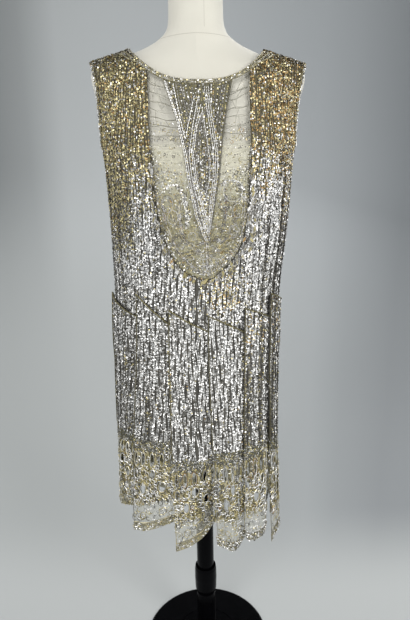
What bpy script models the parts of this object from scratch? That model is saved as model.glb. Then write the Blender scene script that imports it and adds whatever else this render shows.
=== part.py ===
"""A sleeveless beaded flapper dress worn by a limbless dress form on a pole stand.

Metres, +Z up. The origin is on the floor under the middle of the stand. The decorated side
of the dress faces -Y. Every piece of cloth is a wall whose inner face lies on one shared
surface, the drape, so neighbouring pieces follow each other at a seam's distance.
"""

import math
from collections import namedtuple

import bmesh
import bpy
from mathutils import Vector

# ---------------------------------------------------------------- driving sizes
NECK_POINT = 0.128           # from the middle to where neckline and shoulder seam meet
NECKLINE_DROP_FRONT = 0.064  # from those points down to the middle of the front neckline
NECKLINE_DROP_BACK = 0.046
NECKLINE_ROUNDNESS = 2.7     # 2 is a parabola, more is squarer
SHOULDER_TIP = 0.207         # from the middle to the outer end of a shoulder seam
SHOULDER_HEIGHT = 1.399      # of the neck end of a shoulder seam above the floor
SHOULDER_SLOPE = 0.315       # fall of the shoulder seam for each metre outwards
SHOULDER_LEAN = 0.022        # rise of the shoulders for each metre towards -X
BUST_HEIGHT = 1.150
UNDERARM_HEIGHT = 1.222
BODICE_HEM_HEIGHT = 0.835    # hidden under the skirt panels
HIP_HEIGHT = 0.880           # of the skirt's seam, where the folds are held flatter
HIP_HOLD = 0.6               # share of a fold's depth that is lost there

SEQUINNED_THICK = 0.0014
LACE_THICK = 0.0010
TRIM_THICK = 0.0010
SEAM_GAP = 0.0004
CLEAR = 0.0005               # between a piece and the one that it lies on

YOKE_LEFT, YOKE_RIGHT = -0.460, 0.505   # the yoke's sides, as shares of the half width
YOKE_TOP = 0.0925                       # half its width at the neckline
INSERT_COLUMNS = 6
INSERT_CLEAR = 0.0011
INSERT_TOP_GAP = 0.0014
INSERT_SWELL = 0.0005        # how far its middle stands out

NECK_BAND_WIDTH = 0.008
ARMHOLE_BAND_WIDTH = 0.006
ARMHOLE_CUT = 0.010          # how far the armhole's edge is cut in from the drape's side

TAB_COLUMNS = 5
PANEL_ROWS = 6
OVERLAP_SHARE = 0.09         # of a skirt panel that is under the next one
LIFT_OVER = 0.0056           # a panel's left edge stands this far off the drape
LIFT_UNDER = 0.0012          # its right edge
HEM_ROUNDNESS = 0.6          # less makes the foot of a tab squarer at its corners

POLE_RADIUS = 0.0207
SOCKET_RADIUS = 0.0232
BASE_RADIUS = 0.153
BASE_THICK = 0.014
FORM_FOOT_HEIGHT = 0.700
FORM_SIDES = 30

SIDE_ANGLE = 89.999          # of a side or shoulder seam; the back starts just behind it
SIDE_COSINE = 0.036          # nearer to a seam than this the surface faces straight sideways
NORMAL_TURN = 1.5            # steps for measuring which way the surface faces
NORMAL_RISE = 0.0015

# ---------------------------------------------------------------- tables
# A ring of the drape: superellipse with its own half width, depth in front and behind,
# squareness (2 is an ellipse) and sideways shift.
Ring = namedtuple("Ring", "height half front back squareness shift")
DRAPE = [
    Ring(0.3000, 0.1825, 0.116, 0.124, 2.30, -0.0105),
    Ring(0.4500, 0.1815, 0.115, 0.124, 2.30, -0.0118),
    Ring(0.6000, 0.1795, 0.113, 0.124, 2.30, -0.0120),
    Ring(0.7200, 0.1780, 0.113, 0.125, 2.30, -0.0102),
    Ring(0.8300, 0.1755, 0.114, 0.126, 2.30, -0.0078),
    Ring(0.9000, 0.1735, 0.117, 0.121, 2.30, -0.0062),
    Ring(0.9700, 0.1755, 0.120, 0.112, 2.30, -0.0028),
    Ring(1.0400, 0.1795, 0.123, 0.105, 2.30, 0.0004),
    Ring(1.1500, 0.1840, 0.126, 0.103, 2.30, 0.0032),
    Ring(1.2000, 0.1875, 0.124, 0.104, 2.28, 0.0036),
    Ring(1.2600, 0.1965, 0.116, 0.102, 2.15, 0.0036),
    Ring(1.3100, 0.2060, 0.106, 0.097, 1.98, 0.0046),
    Ring(1.3470, 0.2135, 0.096, 0.090, 1.80, 0.0058),
    Ring(1.3650, 0.2140, 0.089, 0.085, 1.66, 0.0058),
    Ring(1.3741, 0.2070, 0.086, 0.083, 1.60, 0.0050),
    Ring(1.3877, 0.1640, 0.081, 0.079, 1.46, 0.0040),
    Ring(1.3990, 0.1280, 0.076, 0.075, 1.36, 0.0032),
    Ring(1.4103, 0.0920, 0.072, 0.072, 1.34, 0.0028),
]
FORM = [
    Ring(0.7000, 0.1300, 0.074, 0.082, 2.20, 0.0),
    Ring(0.7060, 0.1420, 0.084, 0.092, 2.20, 0.0),
    Ring(0.7300, 0.1500, 0.094, 0.104, 2.20, 0.0),
    Ring(0.8200, 0.1540, 0.100, 0.112, 2.20, 0.0),
    Ring(0.9000, 0.1460, 0.097, 0.102, 2.20, 0.0),
    Ring(0.9600, 0.1330, 0.090, 0.088, 2.20, 0.0),
    Ring(1.0200, 0.1250, 0.087, 0.079, 2.20, 0.0),
    Ring(1.0800, 0.1340, 0.099, 0.083, 2.20, 0.0),
    Ring(1.1500, 0.1500, 0.114, 0.091, 2.20, 0.0005),
    Ring(1.2000, 0.1650, 0.114, 0.094, 2.15, 0.0015),
    Ring(1.2600, 0.1860, 0.107, 0.093, 2.02, 0.0030),
    Ring(1.3100, 0.2000, 0.097, 0.087, 1.86, 0.0040),
    Ring(1.3420, 0.2080, 0.088, 0.081, 1.70, 0.0052),
    Ring(1.3590, 0.2085, 0.082, 0.077, 1.58, 0.0052),
    Ring(1.3680, 0.2015, 0.079, 0.075, 1.52, 0.0044),
    Ring(1.3815, 0.1605, 0.075, 0.072, 1.42, 0.0034),
    Ring(1.3940, 0.1255, 0.071, 0.069, 1.35, 0.0030),
    Ring(1.4055, 0.0970, 0.067, 0.066, 1.38, 0.0030),
    Ring(1.4140, 0.0800, 0.064, 0.064, 1.50, 0.0030),
    Ring(1.4270, 0.0625, 0.060, 0.060, 1.80, 0.0030),
    Ring(1.4410, 0.0545, 0.057, 0.058, 2.00, 0.0030),
    Ring(1.4700, 0.0520, 0.055, 0.056, 2.00, 0.0030),
    Ring(1.5180, 0.0515, 0.055, 0.056, 2.00, 0.0030),
    Ring(1.5260, 0.0485, 0.052, 0.053, 2.00, 0.0030),
    Ring(1.5300, 0.0405, 0.044, 0.045, 2.00, 0.0030),
]
# A soft fold that runs down the cloth: angle from the middle of the front, how far it
# reaches to each side, how deep it is, and the heights where it starts and ends.
Fold = namedtuple("Fold", "angle reach depth top foot")
FOLDS = [
    Fold(-78, 8, 0.0045, 1.14, 0.34),
    Fold(-62, 7, 0.0035, 1.08, 0.36),
    Fold(-46, 6, 0.0025, 0.98, 0.40),
    Fold(-30, 6, 0.0020, 0.88, 0.42),
    Fold(-4, 6, 0.0016, 0.84, 0.40),
    Fold(17, 6, 0.0018, 0.86, 0.40),
    Fold(40, 6, 0.0030, 1.02, 0.38),
    Fold(54, 6, 0.0040, 1.10, 0.36),
    Fold(68, 7, 0.0048, 1.16, 0.34),
    Fold(83, 7, 0.0045, 1.12, 0.34),
    Fold(104, 8, 0.0045, 1.12, 0.34),
    Fold(123, 8, 0.0035, 1.02, 0.36),
    Fold(146, 7, 0.0025, 0.92, 0.40),
    Fold(168, 7, 0.0020, 0.88, 0.40),
    Fold(192, 7, 0.0022, 0.90, 0.40),
    Fold(214, 7, 0.0030, 0.98, 0.38),
    Fold(236, 8, 0.0040, 1.08, 0.36),
    Fold(256, 8, 0.0045, 1.12, 0.34),
]
# A skirt panel from its left edge: that edge's angle at hip and hem, the heights of the
# slanted top at left and right, where the lace starts, the heights of the hem at left and
# right and how far its middle hangs lower, how far the middle bulges out and the right edge
# is tucked in.
Panel = namedtuple(
    "Panel", "hip_angle hem_angle top_left top_right lace hem_left hem_right sag bulge tuck"
)
PANELS = [
    Panel(-82.0, -85.0, 0.930, 0.893, 0.630, 0.430, 0.452, 0.000, 0.006, 0.004),
    Panel(-39.0, -50.0, 0.945, 0.879, 0.625, 0.391, 0.436, 0.002, 0.008, 0.006),
    Panel(-15.1, -13.5, 0.916, 0.865, 0.582, 0.360, 0.430, 0.008, 0.008, 0.022),
    Panel(5.2, 9.5, 0.903, 0.860, 0.599, 0.378, 0.376, 0.011, 0.016, 0.012),
    Panel(28.8, 30.5, 0.914, 0.884, 0.603, 0.385, 0.468, 0.040, 0.010, 0.010),
    Panel(53.5, 60.5, 0.935, 0.890, 0.598, 0.338, 0.402, 0.004, 0.006, 0.004),
    Panel(99.0, 101.0, 0.935, 0.888, 0.606, 0.378, 0.430, 0.006, 0.008, 0.006),
    Panel(130.0, 130.0, 0.922, 0.874, 0.600, 0.362, 0.422, 0.008, 0.010, 0.010),
    Panel(156.0, 156.0, 0.914, 0.866, 0.596, 0.356, 0.420, 0.006, 0.010, 0.012),
    Panel(180.0, 180.0, 0.910, 0.864, 0.594, 0.368, 0.404, 0.018, 0.012, 0.012),
    Panel(205.0, 205.0, 0.914, 0.868, 0.598, 0.362, 0.424, 0.006, 0.010, 0.010),
    Panel(236.0, 236.0, 0.926, 0.880, 0.610, 0.384, 0.430, 0.004, 0.008, 0.006),
]
# A band across a lace tab from its top down: its share of the height, which columns are
# cut through, and the size of a hole as shares of its cell.
Band = namedtuple("Band", "name share cut wide tall")
LACE_BANDS = [
    Band("heading", 0.13, (), 0.0, 0.0),
    Band("petals", 0.17, (0, 1, 2, 3, 4), 0.38, 0.70),
    Band("upper_flowers", 0.15, (0, 2, 4), 0.52, 0.56),
    Band("lower_flowers", 0.16, (1, 3), 0.52, 0.56),
    Band("net", 0.31, (), 0.0, 0.0),
    Band("border", 0.08, (), 0.0, 0.0),
]
# The yoke's lower edge from its left side down to its tip and up to its right side: shares of
# the half width and heights.
YOKE_EDGE = [
    (YOKE_LEFT, UNDERARM_HEIGHT),
    (-0.4400, 1.1500),
    (-0.4180, 1.0960),
    (-0.3750, 1.0580),
    (-0.2850, 1.0140),
    (-0.1700, 0.9920),
    (-0.0600, 0.9800),
    (0.1140, 0.9690),
    (0.2100, 0.9800),
    (0.3100, 0.9990),
    (0.4000, 1.0180),
    (0.4680, 1.0480),
    (0.4950, 1.1000),
    (YOKE_RIGHT, UNDERARM_HEIGHT),
]
# The triangular insert from the neckline down: height, left and right edge.
Insert = namedtuple("Insert", "height left right")
INSERT_ROWS = [
    Insert(1.3300, -0.0630, 0.0610),
    Insert(1.2700, -0.0395, 0.0505),
    Insert(1.2100, -0.0265, 0.0420),
    Insert(1.1500, -0.0180, 0.0355),
    Insert(1.0950, -0.0065, 0.0265),
    Insert(1.0480, 0.0125, 0.0190),
]
# A column of cloth beside the yoke or the middle of the back: its share of the way out to
# the side at the underarm, and its distance from the middle where it ends at the top.
Column = namedtuple("Column", "out top")
FRONT_STRAP = [
    Column(0.00, YOKE_TOP),
    Column(0.11, 0.104),
    Column(0.22, 0.116),
    Column(0.33, NECK_POINT),
    Column(0.40, NECK_POINT + NECK_BAND_WIDTH),
    Column(0.53, 0.153),
    Column(0.68, 0.169),
    Column(0.80, 0.182),
    Column(0.90, SHOULDER_TIP - ARMHOLE_BAND_WIDTH),
    Column(1.00, SHOULDER_TIP),
]
BACK_STRAP = [
    Column(0.00, 0.000),
    Column(0.11, 0.026),
    Column(0.22, 0.052),
    Column(0.33, 0.078),
    Column(0.44, 0.104),
    Column(0.54, NECK_POINT),
    Column(0.60, NECK_POINT + NECK_BAND_WIDTH),
    Column(0.69, 0.152),
    Column(0.78, 0.169),
    Column(0.86, 0.183),
    Column(0.935, SHOULDER_TIP - ARMHOLE_BAND_WIDTH),
    Column(1.00, SHOULDER_TIP),
]
# Shares of the way up where the rows of cells are: in the straps, in the bodice below them
# (its last row as tall as the armhole band) and in the yoke.
STRAP_RISE = (0.0, 0.06, 0.20, 0.40, 0.60, 0.78, 0.90, 0.965, 1.0)
BODICE_RISE = (0.0, 0.15, 0.30, 0.45, 0.60, 0.75, 0.88, 0.9845, 1.0)
YOKE_RISE = (0.0, 0.25, 0.50, 0.75, 1.0, 1.1, 1.2, 1.3, 1.4, 1.5, 1.6, 1.7, 1.8, 1.875, 1.95, 2.0)
YOKE_COLUMNS = (-1.0, -0.92, -0.78, -0.62, -0.40, -0.18, 0.02, 0.19, 0.38, 0.60, 0.78, 0.93, 1.0)
# The openwork at the top of the yoke: a column of its grid, the first and last row that are
# cut and the size of a hole as shares of its cell.
Cut = namedtuple("Cut", "column first last wide tall")
YOKE_CUTS = [
    Cut(1, 5, 13, 0.72, 0.66),
    Cut(2, 5, 12, 0.72, 0.66),
    Cut(9, 5, 8, 0.60, 0.66),
    Cut(10, 5, 13, 0.72, 0.66),
]

SILVER = ((0.62, 0.60, 0.56), 0.30, 1.0)
OLD_GOLD = ((0.48, 0.41, 0.24), 0.40, 1.0)
ECRU_NET = ((0.74, 0.70, 0.58), 0.80, 0.0)
FORM_COVER = ((0.86, 0.83, 0.76), 0.85, 0.0)
BLACK_STEEL = ((0.02, 0.02, 0.023), 0.25, 0.0)


# ---------------------------------------------------------------- helpers
def clear_scene():
    for old in list(bpy.data.objects):
        bpy.data.objects.remove(old)


def material(name, look):
    """A Principled material of one colour, made once."""
    found = bpy.data.materials.get(name)
    if found:
        return found
    made = bpy.data.materials.new(name)
    made.use_nodes = True
    colour, roughness, metallic = look
    shader = made.node_tree.nodes["Principled BSDF"]
    shader.inputs["Base Color"].default_value = (*colour, 1.0)
    shader.inputs["Roughness"].default_value = roughness
    shader.inputs["Metallic"].default_value = metallic
    made.diffuse_color = (*colour, 1.0)
    return made


def add_object(name, form, look_name, look):
    """Turns a bmesh into a smooth-shaded object with one material."""
    mesh = bpy.data.meshes.new(name)
    form.to_mesh(mesh)
    form.free()
    mesh.shade_smooth()
    mesh.set_sharp_from_angle(angle=math.radians(40))
    mesh.materials.append(material(look_name, look))
    made = bpy.data.objects.new(name, mesh)
    bpy.context.scene.collection.objects.link(made)
    return made


def spread(count):
    """count + 1 even steps from 0 to 1."""
    return [step / count for step in range(count + 1)]


def eased(share):
    """0 to 1 with a soft start and end, held outside."""
    share = min(max(share, 0.0), 1.0)
    return share * share * (3 - 2 * share)


def ring_at(rings, height):
    """The ring at a height, on a smooth curve through the table's rows."""
    height = min(max(height, rings[0].height), rings[-1].height)
    at = max(i for i in range(len(rings) - 1) if rings[i].height <= height)
    low, high = rings[at], rings[at + 1]
    before, after = rings[max(at - 1, 0)], rings[min(at + 2, len(rings) - 1)]
    span = high.height - low.height
    t = (height - low.height) / span
    values = [height]
    for column in Ring._fields[1:]:
        a, b, c, d = (getattr(row, column) for row in (before, low, high, after))
        slope_in = (c - a) / (high.height - before.height) * span
        slope_out = (d - b) / (after.height - low.height) * span
        values.append(
            b * (2 * t**3 - 3 * t**2 + 1)
            + slope_in * (t**3 - 2 * t**2 + t)
            + c * (3 * t**2 - 2 * t**3)
            + slope_out * (t**3 - t**2)
        )
    return Ring(*values)


# ---------------------------------------------------------------- the drape
def ridge_height(across):
    """Height of the shoulder seam's line at a distance from the middle."""
    return SHOULDER_HEIGHT - SHOULDER_SLOPE * (abs(across) - NECK_POINT)


def fold_depth(angle, height):
    """How far the folds push the cloth in at an angle (degrees) and height."""
    total = 0.0
    for fold in FOLDS:
        off = (angle - fold.angle + 180) % 360 - 180
        if abs(off) > 3 * fold.reach:
            continue
        fade = eased((fold.top - height) / 0.16) * eased((height - fold.foot + 0.10) / 0.10)
        fade *= 1 - HIP_HOLD * math.exp(-(((height - HIP_HEIGHT) / 0.06) ** 2))
        trough = math.exp(-((off / fold.reach) ** 2))
        banks = math.exp(-((off / (2 * fold.reach)) ** 2))
        total += fold.depth * fade * (1.4 * trough - 0.4 * banks)
    return total


def on_ring(ring, angle):
    """A point of a ring. Angle 0 is the middle of the front, +90 the side at +X."""
    sine, cosine = math.sin(math.radians(angle)), math.cos(math.radians(angle))
    power = 2 / ring.squareness
    depth = ring.front if cosine > 0 else ring.back
    across = ring.half * math.copysign(abs(sine) ** power, sine)
    away = -depth * math.copysign(abs(cosine) ** power, cosine)
    away -= math.copysign(SEAM_GAP, cosine)
    lean = -SHOULDER_LEAN * across * eased((ring.height - BUST_HEIGHT) / 0.2)
    return Vector((ring.shift + across, away, ring.height + lean))


def on_drape(angle, height, lift):
    """A point of the cloth's inner surface, lifted outwards along the surface normal."""
    sine, cosine = math.sin(math.radians(angle)), math.cos(math.radians(angle))
    at_side = abs(cosine) < SIDE_COSINE
    inside = angle - 2 * math.copysign(1, sine * cosine) if at_side else angle
    near = on_ring(ring_at(DRAPE, height), inside - NORMAL_TURN)
    far = on_ring(ring_at(DRAPE, height), inside + NORMAL_TURN)
    below = on_ring(ring_at(DRAPE, height - NORMAL_RISE), inside)
    above = on_ring(ring_at(DRAPE, height + NORMAL_RISE), inside)
    normal = (far - near).cross(above - below).normalized()
    if at_side:
        normal = Vector((normal.x, 0, normal.z)).normalized()
    point = on_ring(ring_at(DRAPE, height), angle)
    return point + normal * (lift - fold_depth(angle, height))


def angle_of(share, height, back=False):
    """The angle where the drape at this height reaches a share of its half width."""
    squareness = ring_at(DRAPE, height).squareness
    share = min(max(share, -1.0), 1.0)
    angle = math.degrees(math.asin(math.copysign(abs(share) ** (squareness / 2), share)))
    angle = min(max(angle, -SIDE_ANGLE), SIDE_ANGLE)
    return 180 - angle if back else angle


# ---------------------------------------------------------------- walls
# A spot of a piece is (angle, height, lift); a cell is a loop of spots, counter-clockwise
# as seen from outside.
def cells_of(rows):
    """The cells of a grid of spots whose rows run upwards."""
    turned = rows[0][0][0] > rows[0][-1][0]
    cells = []
    for low, high in zip(rows, rows[1:]):
        for left in range(len(low) - 1):
            cell = [low[left], low[left + 1], high[left + 1], high[left]]
            cells.append(cell[::-1] if turned else cell)
    return cells


def split(keys):
    """A cell's triangles, cut alike in every piece that shares its spots."""
    keys = list(dict.fromkeys(keys))
    first = keys.index(min(keys))
    keys = keys[first:] + keys[:first]
    return [(keys[0], keys[i], keys[i + 1]) for i in range(1, len(keys) - 1)]


def add_wall(name, cells, thick, look_name, look):
    """A closed wall over cells of spots, its inner face on them, grown outwards."""
    form = bmesh.new()
    inner, outer, edges = {}, {}, {}
    for cell in cells:
        keys = [(round(angle, 6), round(height, 7)) for angle, height, _ in cell]
        for key, (angle, height, lift) in zip(keys, cell):
            if key not in inner:
                inner[key] = form.verts.new(on_drape(angle, height, lift))
                outer[key] = form.verts.new(on_drape(angle, height, lift + thick))
        for triangle in split(keys):
            form.faces.new([outer[key] for key in triangle])
            form.faces.new([inner[key] for key in reversed(triangle)])
            for edge in zip(triangle, triangle[1:] + triangle[:1]):
                if edges.pop(edge[::-1], None) is None:
                    edges[edge] = True
    for start, end in edges:
        form.faces.new((outer[end], outer[start], inner[start], inner[end]))
    return add_object(name, form, look_name, look)


# ---------------------------------------------------------------- bodice
def neckline(across, drop):
    """Height of the neckline at a distance from the middle."""
    share = min(abs(across) / NECK_POINT, 1.0)
    return SHOULDER_HEIGHT - drop * (1 - share**NECKLINE_ROUNDNESS)


def yoke_foot(share):
    """Height of the yoke's lower edge at a share of the half width."""
    for (before, low), (after, high) in zip(YOKE_EDGE, YOKE_EDGE[1:]):
        if share <= after:
            break
    part = min(max((share - before) / (after - before), 0.0), 1.0)
    return low + (high - low) * part


def yoke_columns():
    """Shares of the half width where the yoke's columns of cells meet."""
    middle, reach = (YOKE_LEFT + YOKE_RIGHT) / 2, (YOKE_RIGHT - YOKE_LEFT) / 2
    return [middle + reach * out for out in YOKE_COLUMNS]


def across_at(angle, height):
    """How far from the middle the drape is at an angle."""
    ring = ring_at(DRAPE, height)
    return ring.half * math.sin(math.radians(angle)) ** (2 / ring.squareness)


def column_angles(start, columns):
    """Angles at the underarm of a strap's columns, from its inner edge out to the side."""
    first = angle_of(start, UNDERARM_HEIGHT)
    return [first + (SIDE_ANGLE - first) * column.out for column in columns]


def strap_rows(start, columns, drop, side, back):
    """Spots from the underarm up to neckline and shoulder seam, inner column first."""
    rows = []
    for rise in STRAP_RISE:
        row = []
        for angle, column in zip(column_angles(start, columns), columns):
            on_seam = column.top >= NECK_POINT
            end = ridge_height(column.top) if on_seam else neckline(column.top, drop)
            tall = end - UNDERARM_HEIGHT
            if rise == STRAP_RISE[-2] and column.top <= NECK_POINT + NECK_BAND_WIDTH:
                rise_here = 1 - NECK_BAND_WIDTH / tall
            else:
                rise_here = rise
            height = UNDERARM_HEIGHT + tall * rise_here
            foot = across_at(angle, UNDERARM_HEIGHT)
            across = foot + (column.top - foot) * rise_here
            across -= ARMHOLE_CUT * column.out**2 * math.sin(math.pi * rise_here) ** 0.5
            share = across / ring_at(DRAPE, height).half
            if rise == 1 and on_seam:
                share = 1
            spot_angle = angle_of(side * share, height, back)
            if rise == 0:
                spot_angle = 180 - side * angle if back else side * angle
            row.append((spot_angle, height, 0))
        rows.append(row)
    return rows


def front_lower_rows():
    """Spots from the bodice's hem up to the underarm and round the foot of the yoke."""
    lefts = [-a for a in reversed(column_angles(-YOKE_LEFT, FRONT_STRAP))]
    rights = column_angles(YOKE_RIGHT, FRONT_STRAP)
    middles = [angle_of(share, UNDERARM_HEIGHT) for share in yoke_columns()[1:-1]]
    shares = [None] * len(lefts) + yoke_columns()[1:-1] + [None] * len(rights)
    rows = []
    for rise in BODICE_RISE:
        row = []
        for angle, share in zip(lefts + middles + rights, shares):
            top = UNDERARM_HEIGHT if share is None else yoke_foot(share)
            height = BODICE_HEM_HEIGHT + (top - BODICE_HEM_HEIGHT) * rise
            row.append((angle, height, 0))
        rows.append(row)
    return rows


def back_lower_rows():
    angles = column_angles(0, BACK_STRAP)
    angles = [180 - a for a in reversed(angles)] + [180 + a for a in angles[1:]]
    rows = []
    for rise in BODICE_RISE:
        height = BODICE_HEM_HEIGHT + (UNDERARM_HEIGHT - BODICE_HEM_HEIGHT) * rise
        rows.append([(angle, height, 0) for angle in angles])
    return rows


def front_straps():
    return {
        side: strap_rows(share, FRONT_STRAP, NECKLINE_DROP_FRONT, side, False)
        for side, share in ((-1, -YOKE_LEFT), (1, YOKE_RIGHT))
    }


def back_straps():
    return {
        side: strap_rows(0, BACK_STRAP, NECKLINE_DROP_BACK, side, True) for side in (-1, 1)
    }


def add_bodice():
    """Sequinned front, open where the yoke is set in, and plain sequinned back."""
    for name, lower, straps in (
        ("front_bodice", front_lower_rows(), front_straps()),
        ("back_bodice", back_lower_rows(), back_straps()),
    ):
        cells = cells_of(lower) + cells_of(straps[-1]) + cells_of(straps[1])
        add_wall(name, cells, SEQUINNED_THICK, "silver_sequins", SILVER)


def cut_cell(corners, place, left, right, low, high, wide, tall):
    """The cells round a six-sided hole in a cell; place(u, v) gives a spot."""
    middle_u, middle_v = (left + right) / 2, (low + high) / 2
    ring = []
    for turn in range(6):
        angle = math.radians(60 * turn)
        u = middle_u + math.cos(angle) * wide * (right - left) / 2
        v = middle_v + math.sin(angle) * tall * (high - low) / 2 / math.sin(math.radians(60))
        ring.append(place(u, v))
    low_left, low_right, high_right, high_left = corners
    return [
        [high_right, high_left, ring[2], ring[1]],
        [low_left, low_right, ring[5], ring[4]],
        [high_left, low_left, ring[3]],
        [low_right, high_right, ring[0]],
        [high_left, ring[3], ring[2]],
        [low_left, ring[4], ring[3]],
        [low_right, ring[0], ring[5]],
        [high_right, ring[1], ring[0]],
    ]


def cut_cells(place, columns, rows, cuts):
    """Cells over place(u, v); those in cuts, by (column, row), have a hole of that size."""
    grid = [[place(u, v) for u in columns] for v in rows]
    cells = []
    for row in range(len(rows) - 1):
        for column in range(len(columns) - 1):
            corners = [
                grid[row][column],
                grid[row][column + 1],
                grid[row + 1][column + 1],
                grid[row + 1][column],
            ]
            if (column, row) in cuts:
                span = columns[column], columns[column + 1], rows[row], rows[row + 1]
                cells += cut_cell(corners, place, *span, *cuts[column, row])
            else:
                cells.append(corners)
    return cells


def yoke_spot(share, up):
    """A spot of the yoke: up runs 0 to 1 to the underarm's height, then to 2 at the neckline."""
    middle = (YOKE_LEFT + YOKE_RIGHT) / 2
    reach = (YOKE_RIGHT - YOKE_LEFT) / 2
    out = (share - middle) / reach
    top = neckline(out * YOKE_TOP, NECKLINE_DROP_FRONT)
    if up <= 1:
        foot = min(yoke_foot(share) + 2 * SEAM_GAP, UNDERARM_HEIGHT)
        height = foot + (UNDERARM_HEIGHT - foot) * up
        across = share * ring_at(DRAPE, height).half
    else:
        height = UNDERARM_HEIGHT + (top - UNDERARM_HEIGHT) * (up - 1)
        if up == YOKE_RISE[-2]:
            height = top - NECK_BAND_WIDTH
        side_top = neckline(YOKE_TOP, NECKLINE_DROP_FRONT)
        rise = (height - UNDERARM_HEIGHT) / (side_top - UNDERARM_HEIGHT)
        across = share * ring_at(DRAPE, UNDERARM_HEIGHT).half
        across += (out * YOKE_TOP - across) * rise
    across -= 2 * SEAM_GAP * out
    return (angle_of(across / ring_at(DRAPE, height).half, height), height, 0)


def add_yoke():
    """The net and lace yoke set into the front, cut through in its openwork."""
    cuts = {}
    for cut in YOKE_CUTS:
        for row in range(cut.first, cut.last + 1):
            cuts[cut.column, row] = (cut.wide, cut.tall)
    cells = cut_cells(yoke_spot, yoke_columns(), YOKE_RISE, cuts)
    add_wall("yoke", cells, LACE_THICK, "ecru_net", ECRU_NET)


def add_insert():
    """The long triangular insert of beaded lines, sewn on the yoke."""
    tip = INSERT_ROWS[-1].height
    top = INSERT_ROWS[0].height
    rows = []
    for upper, lower in zip(INSERT_ROWS[::-1][1:], INSERT_ROWS[::-1]):
        rows += [Insert(*(a + (b - a) * part for a, b in zip(lower, upper))) for part in (0, 0.5)]
    rows.append(INSERT_ROWS[0])
    grid = []
    for insert in rows:
        spots = []
        for u in spread(INSERT_COLUMNS):
            across = insert.left + (insert.right - insert.left) * u
            edge = neckline(across, NECKLINE_DROP_FRONT) - NECK_BAND_WIDTH - INSERT_TOP_GAP
            height = tip + (edge - tip) * (insert.height - tip) / (top - tip)
            raised = LACE_THICK + INSERT_CLEAR + INSERT_SWELL * math.sin(math.pi * u)
            angle = angle_of(across / ring_at(DRAPE, height).half, height)
            spots.append((angle, height, raised))
        grid.append(spots)
    add_wall("insert", cells_of(grid), TRIM_THICK, "silver_sequins", SILVER)


# ---------------------------------------------------------------- bands round the edges
def raised(cells):
    """Cells of the bodice lifted clear of its outer face."""
    return [[(a, h, lift + SEQUINNED_THICK + CLEAR) for a, h, lift in cell] for cell in cells]


def over_seam(front, back, side):
    """The cell that carries a band over a seam, from two spots of each side of it."""
    cell = [front[0], front[1], back[1], back[0]]
    return cell if side > 0 else cell[::-1]


def add_neck_band():
    """A narrow band of bead rows round the neckline, over both shoulders."""
    wide = [column.top <= NECK_POINT + NECK_BAND_WIDTH for column in FRONT_STRAP].count(True)
    wide_back = [column.top <= NECK_POINT + NECK_BAND_WIDTH for column in BACK_STRAP].count(True)
    fronts, backs = front_straps(), back_straps()
    cells = []
    for side in (-1, 1):
        front = [row[:wide] for row in fronts[side][-2:]]
        back = [row[:wide_back] for row in backs[side][-2:]]
        cells += cells_of(front) + cells_of(back)
        cells.append(over_seam(front[-1][-2:], back[-1][-2:], side))
    across = [[fronts[-1][row][0]] for row in (-2, -1)]
    for row, rise in zip(across, YOKE_RISE[-2:]):
        row += [yoke_spot(share, rise) for share in yoke_columns()[1:-1]]
    for row, number in zip(across, (-2, -1)):
        row.append(fronts[1][number][0])
    cells += cells_of(across)
    add_wall("neck_band", raised(cells), TRIM_THICK, "old_gold", OLD_GOLD)


def add_armhole_band(name, side):
    """A narrow band round one armhole."""
    fronts, backs = front_straps(), back_straps()
    front = [row[-2:] for row in fronts[side]]
    back = [row[-2:] for row in backs[side]]
    front_low = [row[-2:] if side > 0 else row[:2] for row in front_lower_rows()[-2:]]
    back_low = [row[:2] if side > 0 else row[-2:] for row in back_lower_rows()[-2:]]
    cells = cells_of(front) + cells_of(back) + cells_of(front_low) + cells_of(back_low)
    cells.append(over_seam(front[-1], back[-1], side))
    front_edge = [row[-1] if side > 0 else row[0] for row in front_low]
    back_edge = [row[0] if side > 0 else row[-1] for row in back_low]
    cells.append(over_seam(front_edge[::-1], back_edge[::-1], side))
    add_wall(name, raised(cells), TRIM_THICK, "old_gold", OLD_GOLD)


# ---------------------------------------------------------------- skirt
def over_bodice(height):
    """Extra lift that carries a panel over the bodice's hem."""
    return (SEQUINNED_THICK + CLEAR) * eased((height - BODICE_HEM_HEIGHT + 0.06) / 0.05)


def panel_place(index):
    """Gives place(u, height) for a skirt panel: u runs 0 to 1 from its left to its right edge."""
    panel, following = PANELS[index], PANELS[(index + 1) % len(PANELS)]
    turn = 360 if index == len(PANELS) - 1 else 0

    def place(u, height):
        down = eased((0.90 - height) / 0.50)
        left = panel.hip_angle + (panel.hem_angle - panel.hip_angle) * down
        right = following.hip_angle + (following.hem_angle - following.hip_angle) * down + turn
        width = (right - left) / (1 - OVERLAP_SHARE)
        flare = eased((0.72 - height) / 0.34)
        swell = math.sin(math.pi * min(u / (1 - OVERLAP_SHARE), 1.0)) ** 2
        off = LIFT_OVER + (LIFT_UNDER - LIFT_OVER) * u + over_bodice(height)
        off += flare * (panel.bulge * swell - panel.tuck * eased((u - 0.35) / 0.65))
        return (left + width * u, height, off)

    return place


def add_skirt_panel(index):
    """A sequinned panel with a slanted top, lying over the bodice's hem."""
    panel, place = PANELS[index], panel_place(index)
    grid = []
    for up in spread(PANEL_ROWS):
        row = []
        for u in spread(TAB_COLUMNS):
            top = panel.top_left + (panel.top_right - panel.top_left) * u
            foot = panel.lace + SEAM_GAP
            row.append(place(u, foot + (top - foot) * up))
        grid.append(row)
    name = f"skirt_panel_{index + 1:02d}"
    add_wall(name, cells_of(grid), SEQUINNED_THICK, "silver_sequins", SILVER)


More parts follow.
